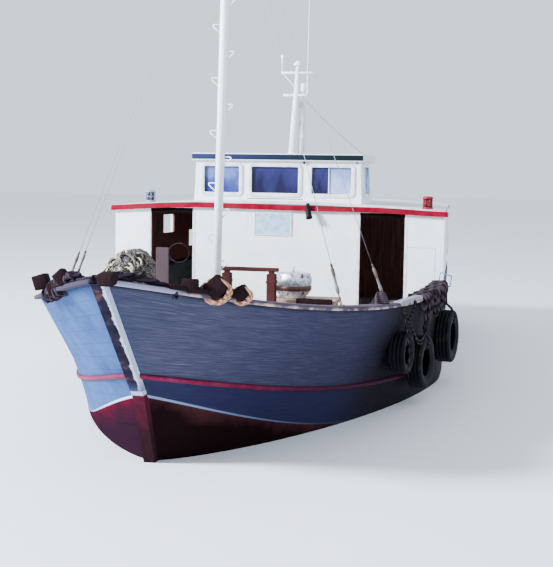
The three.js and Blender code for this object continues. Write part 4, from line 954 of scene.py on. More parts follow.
# Samson bitts: two square oak posts through the deck, a crossbar tenoned on their heads, in red-brown paint
# stained with rust at the iron straps.
BITTS_X = 1.8
BITTS_OUT = 0.345
rusty_timber = timber_finish("red_brown_painted_oak", "#5A302E", "#281213", along="Z", grain_mm=11,
                             gloss=0.08, roughness=0.85, knots=0.6)
bitts = bmesh.new()
foot = deck_at(BITTS_X + 0.068) + 0.004
# Post, tenon and strap: half width, foot, head, eased edge
BITT_PARTS = [(0.068, foot, 1.76, 0.012), (0.04, 1.7, 1.8, 0.006), (0.074, 1.62, 1.66, 0.003)]
for y in (-BITTS_OUT, BITTS_OUT):
    for half, low_z, high_z, eased in BITT_PARTS:
        timber(bitts, (BITTS_X - half, y - half, low_z), (BITTS_X + half, y + half, high_z), eased)
timber(bitts, (BITTS_X - 0.05, -0.45, 1.79), (BITTS_X + 0.05, 0.45, 1.85), 0.014)
timber(bitts, (BITTS_X - 0.04, -0.4, 1.18), (BITTS_X + 0.04, 0.4, 1.27), 0.01)
bitts_piece = add_piece("samson_bitts_posts", bitts, rusty_timber, smooth=False)
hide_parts("samson_bitts")

# Capstan: a drum of cast iron on a base of thick pale planks. Its silver paint has a soft shine, and is
# worn to rust between the bands.
CAPSTAN_X = 1.25
CAPSTAN_Y = 0.57
CAPSTAN_BASE = 1.355
base_wood = timber_finish("pale_spruce_planks", "#C4A68E", "#7D6458", along="Y", grain_mm=12)
base = bmesh.new()
foot = deck_at(CAPSTAN_X + 0.3) + 0.004
timber(base, (CAPSTAN_X - 0.3, CAPSTAN_Y - 0.285, foot), (CAPSTAN_X + 0.3, CAPSTAN_Y + 0.33, 1.30), 0.01)
for plank in range(4):
    low = CAPSTAN_X - 0.33 + plank * 0.165
    timber(base, (low + 0.003, CAPSTAN_Y - 0.3, 1.285), (low + 0.162, CAPSTAN_Y + 0.7, CAPSTAN_BASE), 0.008)
for offset in (-0.25, 0.25):
    timber(base, (CAPSTAN_X + offset - 0.05, CAPSTAN_Y + 0.56, foot),
           (CAPSTAN_X + offset + 0.05, CAPSTAN_Y + 0.66, 1.3), 0.008)
bearer = bmesh.new()
timber(bearer, (CAPSTAN_X + 0.335, 0.69, 1.295), (CAPSTAN_X + 0.39, 1.24, 1.385), 0.012)
add_piece("capstan_base_bearer", bearer, dark_timber)
base_piece = add_piece("capstan_base_planks", base, base_wood, smooth=False)
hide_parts("capstan_base")

drum_metal, tree, shader = start_material("worn_silver_paint_on_iron", 0.45, {"Metallic": 0.6})
place = add_node(tree, "TexCoord", out="Object")
axes = add_node(tree, "SeparateXYZ", {0: place}).node.outputs
rust = add_node(tree, "TexNoise", {"Vector": place, "Scale": 14.0, "Detail": 8.0})
silver = add_node(tree, "ValToRGB", {0: rust}, [(0.46, "#D6D9E6"), (0.6, "#A9AABB"), (0.66, "#5C3A30")])
waist = add_node(tree, "Math", {0: axes["Z"], 1: 1.515}, operation="SUBTRACT")
waist_size = add_node(tree, "Math", {0: waist}, operation="ABSOLUTE")
waist_share = add_node(tree, "MapRange", {"Value": waist_size, 1: 0.05, 2: 0.035})
drum_colour = add_node(tree, "Mix", {0: waist_share, 6: silver, 7: srgb("#5A3A35")}, **MIX_COLOURS)
set_inputs(shader, {"Base Color": drum_colour})
DRUM_RADIUS = 0.285
DRUM_HEIGHT = 0.39
DRUM_PROFILE = [(0, 0), (0.7, 0), (0.72, 0.01), (0.72, 0.07), (0.76, 0.09), (0.88, 0.19), (0.98, 0.31),
                (1, 0.34), (1, 0.45), (0.985, 0.47), (0.955, 0.5), (0.985, 0.535), (1, 0.56), (1, 0.76),
                (0.985, 0.785), (0.945, 0.84), (0.94, 0.94), (0.92, 0.96), (0.5, 0.995), (0.12, 1),
                (0.11, 1.02), (0, 1.02)]
drum = bmesh.new()
drum_low = CAPSTAN_BASE + 0.008
turned(drum, [(radius * DRUM_RADIUS, drum_low + height * DRUM_HEIGHT) for radius, height in DRUM_PROFILE],
       Matrix.Translation((CAPSTAN_X, CAPSTAN_Y, 0)), 48)
turned(drum, [(0, 0), (0.016, 0), (0.016, 0.085), (0.013, 0.09), (0, 0.09)],
       Matrix.Translation((CAPSTAN_X, CAPSTAN_Y, drum_low + DRUM_HEIGHT)), 16)
for step in range(6):
    angle = math.tau * step / 6
    ear = Matrix.Translation((CAPSTAN_X, CAPSTAN_Y, 0)) @ Matrix.Rotation(angle, 4, "Z")
    middle = ear @ Vector((0.272, 0, drum_low + 0.67 * DRUM_HEIGHT))
    timber(drum, middle - Vector((0.012, 0.018, 0.04)), middle + Vector((0.012, 0.018, 0.04)), 0.005,
           Matrix.Rotation(angle, 4, "Z"))
drum_piece = add_piece("capstan_drum_casting", drum, drum_metal, body="capstan_drum")
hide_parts("capstan_drum")

# Hatch: a coaming of thick bare boards round the fish hold, and a lid of weathered planks nailed to two
# battens and hinged forward.
hatch_wood = timber_finish("weathered_hatch_boards", "#A0978A", "#5F564E", along="X", grain_mm=9,
                           board_mm=150)
refinish(hatch_wood, "hatch_coaming", "hatch_cover")

# Net heap: trawl netting and rope dumped against the starboard bulwark, a mound of wet grey-green twine with
# loops of rope standing out of it.
netting, tree, shader = start_material("wet_grey_green_netting", 0.95)
place = add_node(tree, "TexCoord", out="Object")
lumps = add_node(tree, "TexNoise", {"Vector": place, "Scale": 16.0, "Detail": 8.0, "Roughness": 0.7})
twine = add_node(tree, "TexVoronoi", {"Vector": place, "Scale": 34.0}, feature="DISTANCE_TO_EDGE",
                 out="Distance")
twine_share = add_node(tree, "MapRange", {"Value": twine, 1: 0.02, 2: 0.16})
# Painted shade: the gaps between the twines and the low parts of the lumps are dark.
depth = add_node(tree, "Math", {0: lumps, 1: twine_share}, operation="SUBTRACT")
net_colour = add_node(tree, "ValToRGB", {0: depth}, [(0.0, "#3A3634"), (0.2, "#7A7274"), (0.5, "#A69C9C")])
raised = add_node(tree, "Bump", {"Height": depth, "Strength": 0.9, "Distance": 0.02})
set_inputs(shader, {"Base Color": net_colour, "Normal": raised})

HEAP_X = 1.4
HEAP_Y = -1.955
HEAP_HALF_LENGTH = 0.8
HEAP_HALF_BREADTH = 0.38
HEAP_HEIGHT = 1.345
HEAP_RINGS = [(0, 0.9), (0.15, 0.96), (0.3, 0.98), (0.45, 0.95), (0.58, 0.9), (0.7, 0.83), (0.8, 0.73),
              (0.88, 0.6), (0.94, 0.44), (0.975, 0.26), (0.99, 0)]
heap_foot = deck_at(HEAP_X + HEAP_HALF_LENGTH) + 0.005


def heap_point(height_share, angle, grow=1.0):
    """A point on the mound's surface, kept inside the bulwark."""
    for (low, low_radius), (high, high_radius) in zip(HEAP_RINGS, HEAP_RINGS[1:]):
        if height_share <= high:
            radius = lerp(low_radius, high_radius, (height_share - low) / (high - low))
            break
    lump = 1 + 0.10 * noise.noise(Vector((3 * math.cos(angle), 3 * math.sin(angle), height_share * 5)))
    x = HEAP_X + HEAP_HALF_LENGTH * radius * lump * grow * math.cos(angle)
    y = HEAP_Y + HEAP_HALF_BREADTH * radius * lump * grow * math.sin(angle)
    return Vector((x, y, heap_foot + HEAP_HEIGHT * height_share * (0.99 if grow > 1 else 0.97)))


heap = bmesh.new()
turned(heap, [(radius, height) for height, radius in HEAP_RINGS], None, 64)
bmesh.ops.subdivide_edges(heap, edges=[line for line in heap.edges if line.calc_length() > 0.09], cuts=1,
                          use_grid_fill=True)
for vertex in heap.verts:
    angle = math.atan2(vertex.co.y, vertex.co.x)
    ring = math.hypot(vertex.co.x, vertex.co.y)
    spread = 1 + 0.10 * noise.noise(Vector((3 * math.cos(angle), 3 * math.sin(angle), vertex.co.z * 5)))
    fine = 0.035 * noise.noise(vertex.co * 9)
    vertex.co = Vector((HEAP_X + vertex.co.x * HEAP_HALF_LENGTH * spread + fine,
                        HEAP_Y + vertex.co.y * HEAP_HALF_BREADTH * spread + fine,
                        heap_foot + vertex.co.z * HEAP_HEIGHT * 0.97 + fine * 0.6 * ring))
heap_piece = add_piece("net_heap_mound", heap, netting)
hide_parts("net_heap")

strands = bmesh.new()
chance = random.Random(7)
for strand in range(46):
    angle = chance.uniform(0, math.tau)
    height = chance.uniform(0.15, 0.9)
    sweep = chance.uniform(0.5, 1.6)
    rise = chance.uniform(-0.12, 0.12)
    path = []
    for step in range(15):
        share = step / 14
        bulge = 1.0 + 0.07 * math.sin(math.pi * share) + 0.02 * math.sin(9 * share + strand)
        level = clamp(height + rise * math.sin(math.tau * share * 0.8), 0.05, 0.95)
        path.append(heap_point(level, angle + sweep * share, bulge))
    swept_rod(strands, path, chance.uniform(0.006, 0.013), 6)
add_piece("net_heap_strands", strands, grey_rope)

coils = bmesh.new()
pale_coils = bmesh.new()
chance = random.Random(19)
for coil in range(34):
    angle = chance.uniform(-1.3, 1.5)
    height = chance.uniform(0.6, 0.93)
    middle = heap_point(height, angle, 0.86) - Vector((0, 0, 0.05))
    wide = chance.uniform(0.07, 0.13)
    tilt = Matrix.Rotation(chance.uniform(-0.9, 0.9), 3, "X")
    tilt = tilt @ Matrix.Rotation(1.1 + chance.uniform(-0.5, 0.5), 3, "Y")
    for turn_number in range(3):
        loop = []
        for step in range(20):
            share = math.tau * step / 20
            lie = Vector((math.cos(share) * wide, math.sin(share) * wide * 1.25, 0.02 * turn_number))
            lie *= 1 + 0.07 * math.sin(share * 2 + turn_number * 2)
            loop.append(middle + tilt @ lie)
        swept_rod(pale_coils if coil % 3 == 0 else coils, loop, chance.uniform(0.011, 0.017), 6, closed=True)
coil_rope = rope_finish("olive_grey_net_rope", "#8E857C", "#4E463F", 90)
add_piece("net_heap_coils", coils, coil_rope)
pale_coil_rope = rope_finish("pale_net_rope", "#CFC5B0", "#8C8272", 90)
add_piece("net_heap_pale_coils", pale_coils, pale_coil_rope)

# Beside the heap a bleached softwood board stands on end, with the tarred rope hoop of a fish basket hung
# on its edge.
prop_board = bmesh.new()
timber(prop_board, (1.88, -1.435, deck_at(1.92) + 0.004), (1.92, -1.23, 2.115), 0.012)
board_wood = timber_finish("bleached_pink_board", "#5C4A50", "#33282E", along="Z", grain_mm=12, gloss=0.08)
add_piece("prop_board", prop_board, board_wood, smooth=False)
hoop = bmesh.new()
for turn_number in range(2):
    hoop_x = 1.9 + 0.016 * turn_number
    hoop_z = 2.045 - 0.008 * turn_number
    loop = [(hoop_x, -1.07 + 0.158 * out, hoop_z + 0.146 * up) for out, up in round_steps(28)]
    swept_rod(hoop, loop, 0.0055, 8, closed=True)
add_piece("basket_hoop", hoop, dark_rope)

# Truck tyres hang from the port rail as fenders, each on a loop of old rope. They are moulded rubber, black
# and wet, worn smooth between the notches of the tread.
rubber = mottled_finish("worn_tyre_rubber", 0.75, 5.0, 8.0,
                        [(0.4, "#070608"), (0.6, "#0D0B0E"), (0.75, "#2E2524")], (0.3, 0.004),
                        {"Specular IOR Level": 0.15})
# Each row: place along the boat, out from the centreline, height, radius, turn about the upright in degrees
TYRES = [(0.46, 2.886, 0.757, 0.41, -8), (2.15, 2.62, 0.597, 0.38, -11), (3.05, 2.437, 0.85, 0.29, -10)]
TYRE_RADIUS = 0.475
TYRE_HOLE = 0.25
TYRE_STEPS = 72
# Half of the tyre's section from the bead round to the middle of the tread: radius, half width
TYRE_SECTION = [(0.252, 0.072), (0.262, 0.094), (0.285, 0.104), (0.30, 0.1), (0.33, 0.114), (0.38, 0.12),
                (0.42, 0.119), (0.448, 0.112), (0.46, 0.104), (0.474, 0.092), (0.475, 0.06), (0.465, 0.057),
                (0.465, 0.049), (0.475, 0.046), (0.475, 0.012), (0.465, 0.009), (0.465, 0.0)]
TYRE_INNER = [(0.30, 0.086), (0.36, 0.105), (0.42, 0.104), (0.45, 0.08), (0.452, 0.0)]
for number, (x, y, z, tyre_radius, turn) in enumerate(TYRES, 1):
    section = TYRE_SECTION + [(radius, -half) for radius, half in reversed(TYRE_SECTION[:-1])]
    inner = [(radius, -half) for radius, half in TYRE_INNER[:-1]]
    inner += [(radius, half) for radius, half in reversed(TYRE_INNER)]
    grow = tyre_radius / TYRE_RADIUS
    stand = Matrix.Translation((x, y, z)) @ Matrix.Rotation(math.radians(turn), 4, "Z")
    place = stand @ Matrix.Rotation(math.radians(-90), 4, "X") @ Matrix.Diagonal((grow, grow, 1, 1))
    part = bmesh.new()
    turned(part, section + inner + section[:1], None, TYRE_STEPS)
    for vertex in part.verts:
        radius = math.hypot(vertex.co.x, vertex.co.y)
        step = round(math.atan2(vertex.co.y, vertex.co.x) / math.tau * TYRE_STEPS)
        if radius > 0.458 and abs(vertex.co.z) > 0.04 and step % 3 == 0:
            vertex.co.xy = vertex.co.xy * ((radius - 0.01) / radius)
    bmesh.ops.transform(part, matrix=place, verts=part.verts)
    tyre = bmesh.new()
    join_in(tyre, part)
    tyre_piece = add_piece(f"tyre_fender_ring_{number}", tyre, rubber)

    lanyard = bmesh.new()
    out = rail_half(x) + 0.085
    top = z + tyre_radius
    across_dir = Vector((math.cos(math.radians(turn)), math.sin(math.radians(turn)), 0))
    face = Vector((-across_dir.y, across_dir.x, 0))
    for lane in (-0.03, 0.03):
        sling = [(x, out - 0.06, rail_at(x) + CAP_THICK + 0.015),
                 (x, out - 0.01, rail_at(x) + CAP_THICK + 0.012), (x, out + 0.012, rail_at(x) + 0.03),
                 (x, out + 0.012, rail_at(x) - 0.04), (x, lerp(out, y, 0.6), top + 0.1),
                 (x, y + 0.07, top + 0.02)]
        path = [Vector(point) + across_dir * lane for point in sling]
        ring_middle = Vector((x, y, z + grow * (TYRE_RADIUS + TYRE_HOLE) / 2)) + across_dir * lane
        for step in range(9):
            angle = math.radians(60) - math.radians(240) * step / 8
            path.append(ring_middle + face * 0.128 * math.cos(angle)
                        + Vector((0, 0, 0.125 * math.sin(angle))))
        swept_rod(lanyard, path, 0.014, 8)
    add_piece(f"tyre_lanyard_{number}", lanyard, dark_rope)
    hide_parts(f"tyre_fender_{number}")

# Rope turns: old rope is passed again and again over the port rail above the tyres and carries them, with a
# canvas-wrapped pad on the rail where it chafes. A sling runs from the rail down through the second tyre.
rail_turns = bmesh.new()
turn_rope = rope_finish("weathered_mooring_rope", "#463A42", "#1A131A", 70)
for turn_number in range(15):
    x = 2.5 - 0.165 * turn_number
    wander = 0.012 * math.sin(turn_number * 1.7)
    outer = rail_half(x) + 0.09 + wander
    inner = rail_half(x) - 0.135
    top = cap_top(x) + 0.02
    low = rail_at(x) - 0.02
    hang = rail_at(x) - (0.12, 0.30, 0.08, 0.2, 0.1)[turn_number % 5]
    lean = 0.05 * math.sin(turn_number * 2.9)
    around = [(x, inner, low), (x, inner, top), (x, outer - 0.03, top + 0.004),
              (x + lean * 0.2, outer, top - 0.02), (x + lean * 0.6, outer + 0.012, (top + hang) / 2),
              (x + lean, outer + 0.004, hang + 0.02), (x + lean + 0.03, outer - 0.016, hang),
              (x + lean + 0.06, outer - 0.03, hang + 0.03),
              (x + lean * 0.5 + 0.05, outer - 0.04, (low + hang) / 2), (x + 0.02, outer - 0.05, low)]
    swept_rod(rail_turns, closed_run(around), (0.028, 0.02, 0.032)[turn_number % 3], 10, closed=True)
for shift in (0.0, 0.045):
    sling = [(3.3 + shift, 2.35, 1.585), (3.3 + shift, 2.44, 1.58), (3.3, 2.475, 1.53), (3.15, 2.49, 1.42),
             (3.0, 2.525, 1.27), (2.75, 2.575, 1.09), (2.6, 2.62, 0.97 - shift), (2.47, 2.65, 0.935 - shift),
             (2.35, 2.67, 0.96 - shift), (2.2, 2.70, 1.04), (2.0, 2.745, 1.24), (1.88, 2.765, 1.42),
             (1.85, 2.765, 1.57), (1.85, 2.70, 1.585)]
    swept_rod(rail_turns, sling, 0.013, 8)
strand = [(3.5, 2.30, 1.6), (3.5, 2.455, 1.6), (3.5, 2.49, 1.54), (3.46, 2.53, 1.3), (3.42, 2.57, 1.1),
          (3.4, 2.585, 0.85), (3.38, 2.575, 0.58)]
swept_rod(rail_turns, strand, 0.008, 8)
add_piece("port_rail_rope_turns", rail_turns, turn_rope)

pad_canvas = timber_finish("chafed_grey_canvas", "#A8A2AC", "#6E6874", along="X", grain_mm=16)
rail_pad = bmesh.new()
pad_slope = Matrix.Rotation(-math.atan2(rail_half(2.6) - rail_half(3.6), 1.0), 4, "Z")
timber(rail_pad, (2.62, rail_half(3.1) - 0.05, 1.545), (3.6, rail_half(3.1) + 0.085, 1.605), 0.022, pad_slope)
add_piece("rail_chafing_pad", rail_pad, pad_canvas)

foot_coil = bmesh.new()
for turn_number in range(6):
    swept_rod(foot_coil, [(3.93 + (0.095 - 0.011 * turn_number) * math.cos(math.tau * step / 24),
                           2.25 + (0.1 - 0.011 * turn_number) * math.sin(math.tau * step / 24),
                           cap_top(3.93) + 0.016 + 0.024 * turn_number + 0.006
                           * math.sin(math.tau * step / 12)) for step in range(24)], 0.017, 8, closed=True)
add_piece("shroud_foot_coil", foot_coil, turn_rope)

blue_frame_paint = start_material("pale_blue_frame_paint", 0.5, {"Base Color": srgb("#3E6CAE")})[0]
blue_frame = bmesh.new()
swept_rod(blue_frame, [(0.10, y, z) for y, z in ((2.74, 1.724), (2.915, 1.668), (2.89, 1.50), (2.71, 1.55))],
          0.012, 8, closed=True)
swept_rod(blue_frame, [(0.10, 2.71, 1.55), (0.10, 2.72, 1.5), (0.11, 2.74, 1.45)], 0.008, 8)
add_piece("rail_end_frame", blue_frame, blue_frame_paint)

# Deckhouse: walls of tongued boards on a frame, white oil paint outside, brown varnished boards inside. The
# walls are chalked and run with rust below the fittings.
def house_finish(name, white, shade, wall_line):
    """White outside, brown inside. The wall line is half the breadth at x = 0, its change in a metre along,
    and where the front and aft walls' inner faces stand."""
    made, tree, shader = start_material(name, 0.45)
    place = add_node(tree, "TexCoord", out="Object")
    axes = add_node(tree, "SeparateXYZ", {0: place}).node.outputs
    broad = add_node(tree, "TexNoise", {"Vector": place, "Scale": 2.2, "Detail": 7.0, "Roughness": 0.6})
    run_place = add_node(tree, "Mapping", {"Vector": place, "Scale": (16.0, 16.0, 1.3)})
    runs = add_node(tree, "TexNoise", {"Vector": run_place, "Scale": 1.0, "Detail": 6.0})
    paint = add_node(tree, "ValToRGB", {0: broad}, [(0.35, shade), (0.6, white)])
    run_share = add_node(tree, "MapRange", {"Value": runs, 1: 0.62, 2: 0.78, 4: 0.4})
    outside = add_node(tree, "Mix", {0: run_share, 6: paint, 7: srgb("#B9AFA8")}, **MIX_COLOURS)
    boards = add_node(tree, "Mapping", {"Vector": place, "Scale": (30.0, 30.0, 2.0)})
    grain = add_node(tree, "TexNoise", {"Vector": boards, "Scale": 1.0, "Detail": 5.0})
    varnish = add_node(tree, "ValToRGB", {0: grain}, [(0.35, "#5A2A20"), (0.65, "#84483A")])
    half, per_metre, fore_x, aft_x = wall_line
    far = add_node(tree, "Math", {0: axes["Y"]}, operation="ABSOLUTE")
    drawn_in = add_node(tree, "Math", {0: axes["X"], 1: -per_metre, 2: far}, operation="MULTIPLY_ADD")
    within = add_node(tree, "Math", {0: drawn_in, 1: half}, operation="LESS_THAN")
    behind = add_node(tree, "Math", {0: axes["X"], 1: fore_x}, operation="LESS_THAN")
    before = add_node(tree, "Math", {0: axes["X"], 1: aft_x}, operation="GREATER_THAN")
    both = add_node(tree, "Math", {0: within, 1: behind}, operation="MULTIPLY")
    inside = add_node(tree, "Math", {0: both, 1: before}, operation="MULTIPLY")
    colour = add_node(tree, "Mix", {0: inside, 6: outside, 7: varnish}, **MIX_COLOURS)
    raised = add_node(tree, "Bump", {"Height": broad, "Strength": 0.25, "Distance": 0.006})
    set_inputs(shader, {"Base Color": colour, "Normal": raised})
    return made


house_paint = house_finish("chalked_white_oil_paint", "#FBFDFF", "#EEF4FB", (2.74, 0.0522, -0.03, -4.57))
refinish(house_paint, "deckhouse_port", "deckhouse_starboard", "deckhouse_front", "deckhouse_aft")

# Joinery on the house: flat softwood architraves in white gloss, nailed round the doorways and the side
# openings, and the filled seam of a locker door.
trim_paint = mottled_finish("white_gloss_trim", 0.35, 8.0, 6.0, [(0.35, "#C9D0D8"), (0.6, "#EEF2F6")])
HOUSE_FRONT_X = 0.0
HOUSE_AFT_X = -4.6
HOUSE_FORE_HALF = 2.77
HOUSE_AFT_HALF = 2.53
HOUSE_DRAWS_IN = 0.0522
DOOR_IN_Y = 1.41
DOOR_OUT_Y = 2.14
DOOR_TOP_Z = 2.585
# Each row: the aft and fore edge of an opening in the side wall, its foot and its head
SIDE_OPENINGS = [(-2.73, -2.16, 2.12, 2.46), (-4.4, -3.6, 1.8, 2.12)]
trims = bmesh.new()
for side in (-1, 1):
    for y in (DOOR_IN_Y - 0.022, DOOR_OUT_Y + 0.022):
        timber(trims, (HOUSE_FRONT_X + 0.001, side * y - 0.022, 0.8),
               (HOUSE_FRONT_X + 0.005, side * y + 0.022, 2.6), 0.0015)
    for aft, fore, foot, head in SIDE_OPENINGS:
        strips = [(aft - 0.04, aft, foot - 0.04, head + 0.04), (fore, fore + 0.04, foot - 0.04, head + 0.04),
                  (aft, fore, foot - 0.04, foot), (aft, fore, head, head + 0.04)]
        for low_x, high_x, low_z, high_z in strips:
            y = side * (lerp(HOUSE_FORE_HALF, HOUSE_AFT_HALF, (low_x + high_x) / 2 / HOUSE_AFT_X) + 0.006)
            timber(trims, (low_x, y - 0.01, low_z), (high_x, y + 0.01, high_z), 0.003,
                   Matrix.Rotation(side * HOUSE_DRAWS_IN, 4, "Z"))
add_piece("house_architraves", trims, trim_paint, smooth=False)

seam = bmesh.new()
timber(seam, (HOUSE_FRONT_X + 0.001, 2.165, 2.098), (HOUSE_FRONT_X + 0.003, 2.64, 2.104), 0.0008)
timber(seam, (HOUSE_FRONT_X + 0.001, 2.634, 1.62), (HOUSE_FRONT_X + 0.003, 2.64, 2.098), 0.0008)
seam_grey = start_material("grey_seam_filler", 0.8, {"Base Color": srgb("#8E9CA8")})[0]
add_piece("front_locker_seam", seam, seam_grey, smooth=False)

# Over each doorway a near-black brown board, nailed to the wall, fills it up to the fascia: painted shade,
# so that the doorway's dark reaches the fascia.
shade_boards = bmesh.new()
for side in (-1, 1):
    middle = side * (DOOR_IN_Y + DOOR_OUT_Y) / 2
    timber(shade_boards, (HOUSE_FRONT_X + 0.001, middle - 0.366, DOOR_TOP_Z - 0.003),
           (HOUSE_FRONT_X + 0.007, middle + 0.366, 2.662 if side < 0 else 2.645), 0.0015)
doorway_shade_paint = start_material("dark_brown_doorway_shade_paint", 0.8,
                              {"Specular IOR Level": 0.05, "Base Color": srgb("#0C0605")})[0]
add_piece("doorway_shade_boards", shade_boards, doorway_shade_paint, smooth=False)

door_seats = bmesh.new()
for side in (-1, 1):
    low = min(side * DOOR_IN_Y, side * DOOR_OUT_Y)
    timber(door_seats, (HOUSE_FRONT_X - 0.058, low + 0.003, 0.757),
           (HOUSE_FRONT_X + 0.004, low + 0.727, 0.81), 0.008)
add_piece("door_sills", door_seats, covering_board_wood)

# Roof: tongued boards under canvas bedded in white paint, dull and a little grey, with a signal-red fascia
# board nailed round its edge.
roof_canvas = mottled_finish("painted_canvas_roof", 0.7, 2.5, 7.0, [(0.35, "#B9BEC4"), (0.6, "#E4E7EA")])
refinish(roof_canvas, "deckhouse_roof")

fascia_paint, tree, shader = start_material("signal_red_gloss", 0.45, {"Specular IOR Level": 0.06})
place = add_node(tree, "TexCoord", out="Object")
axes = add_node(tree, "SeparateXYZ", {0: place}).node.outputs
fade = add_node(tree, "TexNoise", {"Vector": place, "Scale": 5.0, "Detail": 6.0})
reds = add_node(tree, "ValToRGB", {0: fade}, [(0.35, "#6E041A"), (0.6, "#860827")])
joint = add_node(tree, "Math", {0: axes["Y"], 1: 1.35}, operation="SUBTRACT")
joint_size = add_node(tree, "Math", {0: joint}, operation="ABSOLUTE")
joint_share = add_node(tree, "MapRange", {"Value": joint_size, 1: 0.008, 2: 0.004})
fascia_colour = add_node(tree, "Mix", {0: joint_share, 6: reds, 7: srgb("#4A1018")}, **MIX_COLOURS)
set_inputs(shader, {"Base Color": fascia_colour})
# Each row: place across the roof, height of the fascia's top edge there
FASCIA_TOP = [(-2.828, 2.686), (-2.4, 2.716), (-1.9, 2.748), (-1.35, 2.768), (-0.6, 2.758), (0.4, 2.742),
              (1.5, 2.742), (2.0, 2.728), (2.45, 2.702), (2.828, 2.688)]
FASCIA_TALL = 0.086


def fascia_line(y):
    for (low, low_z), (high, high_z) in zip(FASCIA_TOP, FASCIA_TOP[1:]):
        if y <= high:
            return lerp(low_z, high_z, (y - low) / (high - low))
    return FASCIA_TOP[-1][1]


fascia = bmesh.new()
front_board = bmesh.new()
bmesh.ops.create_grid(front_board, x_segments=56, y_segments=1, size=1)
bmesh.ops.solidify(front_board, geom=front_board.faces[:], thickness=-1)
for vertex in front_board.verts:
    across, up, deep = vertex.co
    y = 2.828 * across
    top = sum(fascia_line(y + step * 0.1) for step in (-2, -1, 0, 1, 2)) / 5
    vertex.co = Vector((0.0485 + 0.025 * clamp(abs(deep)), y, top - (0.0 if up > 0 else FASCIA_TALL)))
join_in(fascia, front_board)
side_boards = bmesh.new()
for side in (-1, 1):
    for low_x, high_x in ((-1.62, 0.047), (-3.3, -1.623), (-4.72, -3.303)):
        wall = lerp(2.8275, 2.5877, (low_x + high_x) / 2 / HOUSE_AFT_X)
        timber(side_boards, (low_x, side * wall - 0.0125, 2.612), (high_x, side * wall + 0.0125, 2.69), 0.004,
               Matrix.Rotation(side * HOUSE_DRAWS_IN, 4, "Z"))
timber(side_boards, (-4.745, -2.57, 2.612), (-4.722, 2.57, 2.69), 0.004)
fascia_piece = add_piece("roof_fascia_boards", fascia, fascia_paint, smooth=False)
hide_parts("roof_fascia")
add_piece("roof_side_boards", side_boards, trim_paint, smooth=False)

# Sign board: a blank plywood board in pale blue paint with a white edging, screwed to the front of the
# house under the roof's edge.
sign_paint = mottled_finish("pale_blue_sign_paint", 0.5, 12.0, 6.0, [(0.35, "#8FB2D4"), (0.62, "#B4D0E8")])
sign = bmesh.new()
timber(sign, (HOUSE_FRONT_X + 0.0015, -0.348, 2.242), (HOUSE_FRONT_X + 0.012, 0.278, 2.608), 0.002)
sign_board = add_piece("blank_sign_board", sign, sign_paint, smooth=False)
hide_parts("sign_board")
sign_edge = bmesh.new()
for low, high in (((0.002, -0.35, 2.24), (0.018, -0.335, 2.61)), ((0.002, 0.265, 2.24), (0.018, 0.28, 2.61)),
                  ((0.002, -0.335, 2.24), (0.018, 0.265, 2.255)),
                  ((0.002, -0.335, 2.595), (0.018, 0.265, 2.61))):
    timber(sign_edge, low, high, 0.002)
add_piece("sign_board_edging", sign_edge, trim_paint, smooth=False)

# Wheelhouse: plywood screwed to timber frames and painted white outside, its windows in raised rounded
# frames of painted aluminium.
WHEEL_FRONT_X = -0.08
WHEEL_AFT_X = -1.45
WHEEL_TOP_Z = 3.46
WHEEL_WALL = 0.05
WINDOW_LOW_Z = 2.93
WINDOW_TOP_Z = 3.39
wheel_paint = house_finish("white_paint_on_plywood", "#FCFEFF", "#F0F6FC", (1.375, 0.0, -0.105, -1.425))
refinish(wheel_paint, "wheelhouse_port", "wheelhouse_starboard", "wheelhouse_aft")


def camber_z(y):
    return 2.645 + 0.12 * (1 - (y / 2.85) ** 2)


def wheel_half(z):
    return lerp(1.412, 1.382, (z - 2.75) / (WHEEL_TOP_Z - 2.75))


# The front wall is one sheet with three openings cut in it, its foot scribed to the roof's camber
FRONT_WINDOWS = [(-1.24, -0.63), (-0.43, 0.37), (0.58, 1.25)]
window_edges = [edge for window in FRONT_WINDOWS for edge in window]
front_lines = sorted([-1.412, *window_edges, 1.412, -1.0, -0.8, -0.1, 0.1, 0.8, 1.05])
front_levels = [0.0, WINDOW_LOW_Z, WINDOW_TOP_Z, WHEEL_TOP_Z]


def front_at(column, row):
    y = front_lines[column]
    z = front_levels[row] if row else camber_z(y) + 0.046
    if abs(y) > 1.4:
        y = math.copysign(wheel_half(z), y)
    return (Vector((WHEEL_FRONT_X, y, z)),)


front = mapped_grid(len(front_lines) - 1, 3, front_at)
openings = []
for face in front.faces:
    middle = face.calc_center_median()
    in_window = any(low < middle.y < high for low, high in FRONT_WINDOWS)
    if in_window and WINDOW_LOW_Z < middle.z < WINDOW_TOP_Z:
        openings.append(face)
bmesh.ops.delete(front, geom=openings, context="FACES")
for face in front.faces:
    if face.normal.x < 0:
        face.normal_flip()
bmesh.ops.solidify(front, geom=front.faces[:], thickness=WHEEL_WALL)
for vertex in front.verts:
    vertex.co.x = min(max(vertex.co.x, WHEEL_FRONT_X - WHEEL_WALL), WHEEL_FRONT_X)
bmesh.ops.recalc_face_normals(front, faces=front.faces)
front_piece = add_piece("wheelhouse_front_wall", front, wheel_paint, smooth=False)
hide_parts("wheelhouse_front")


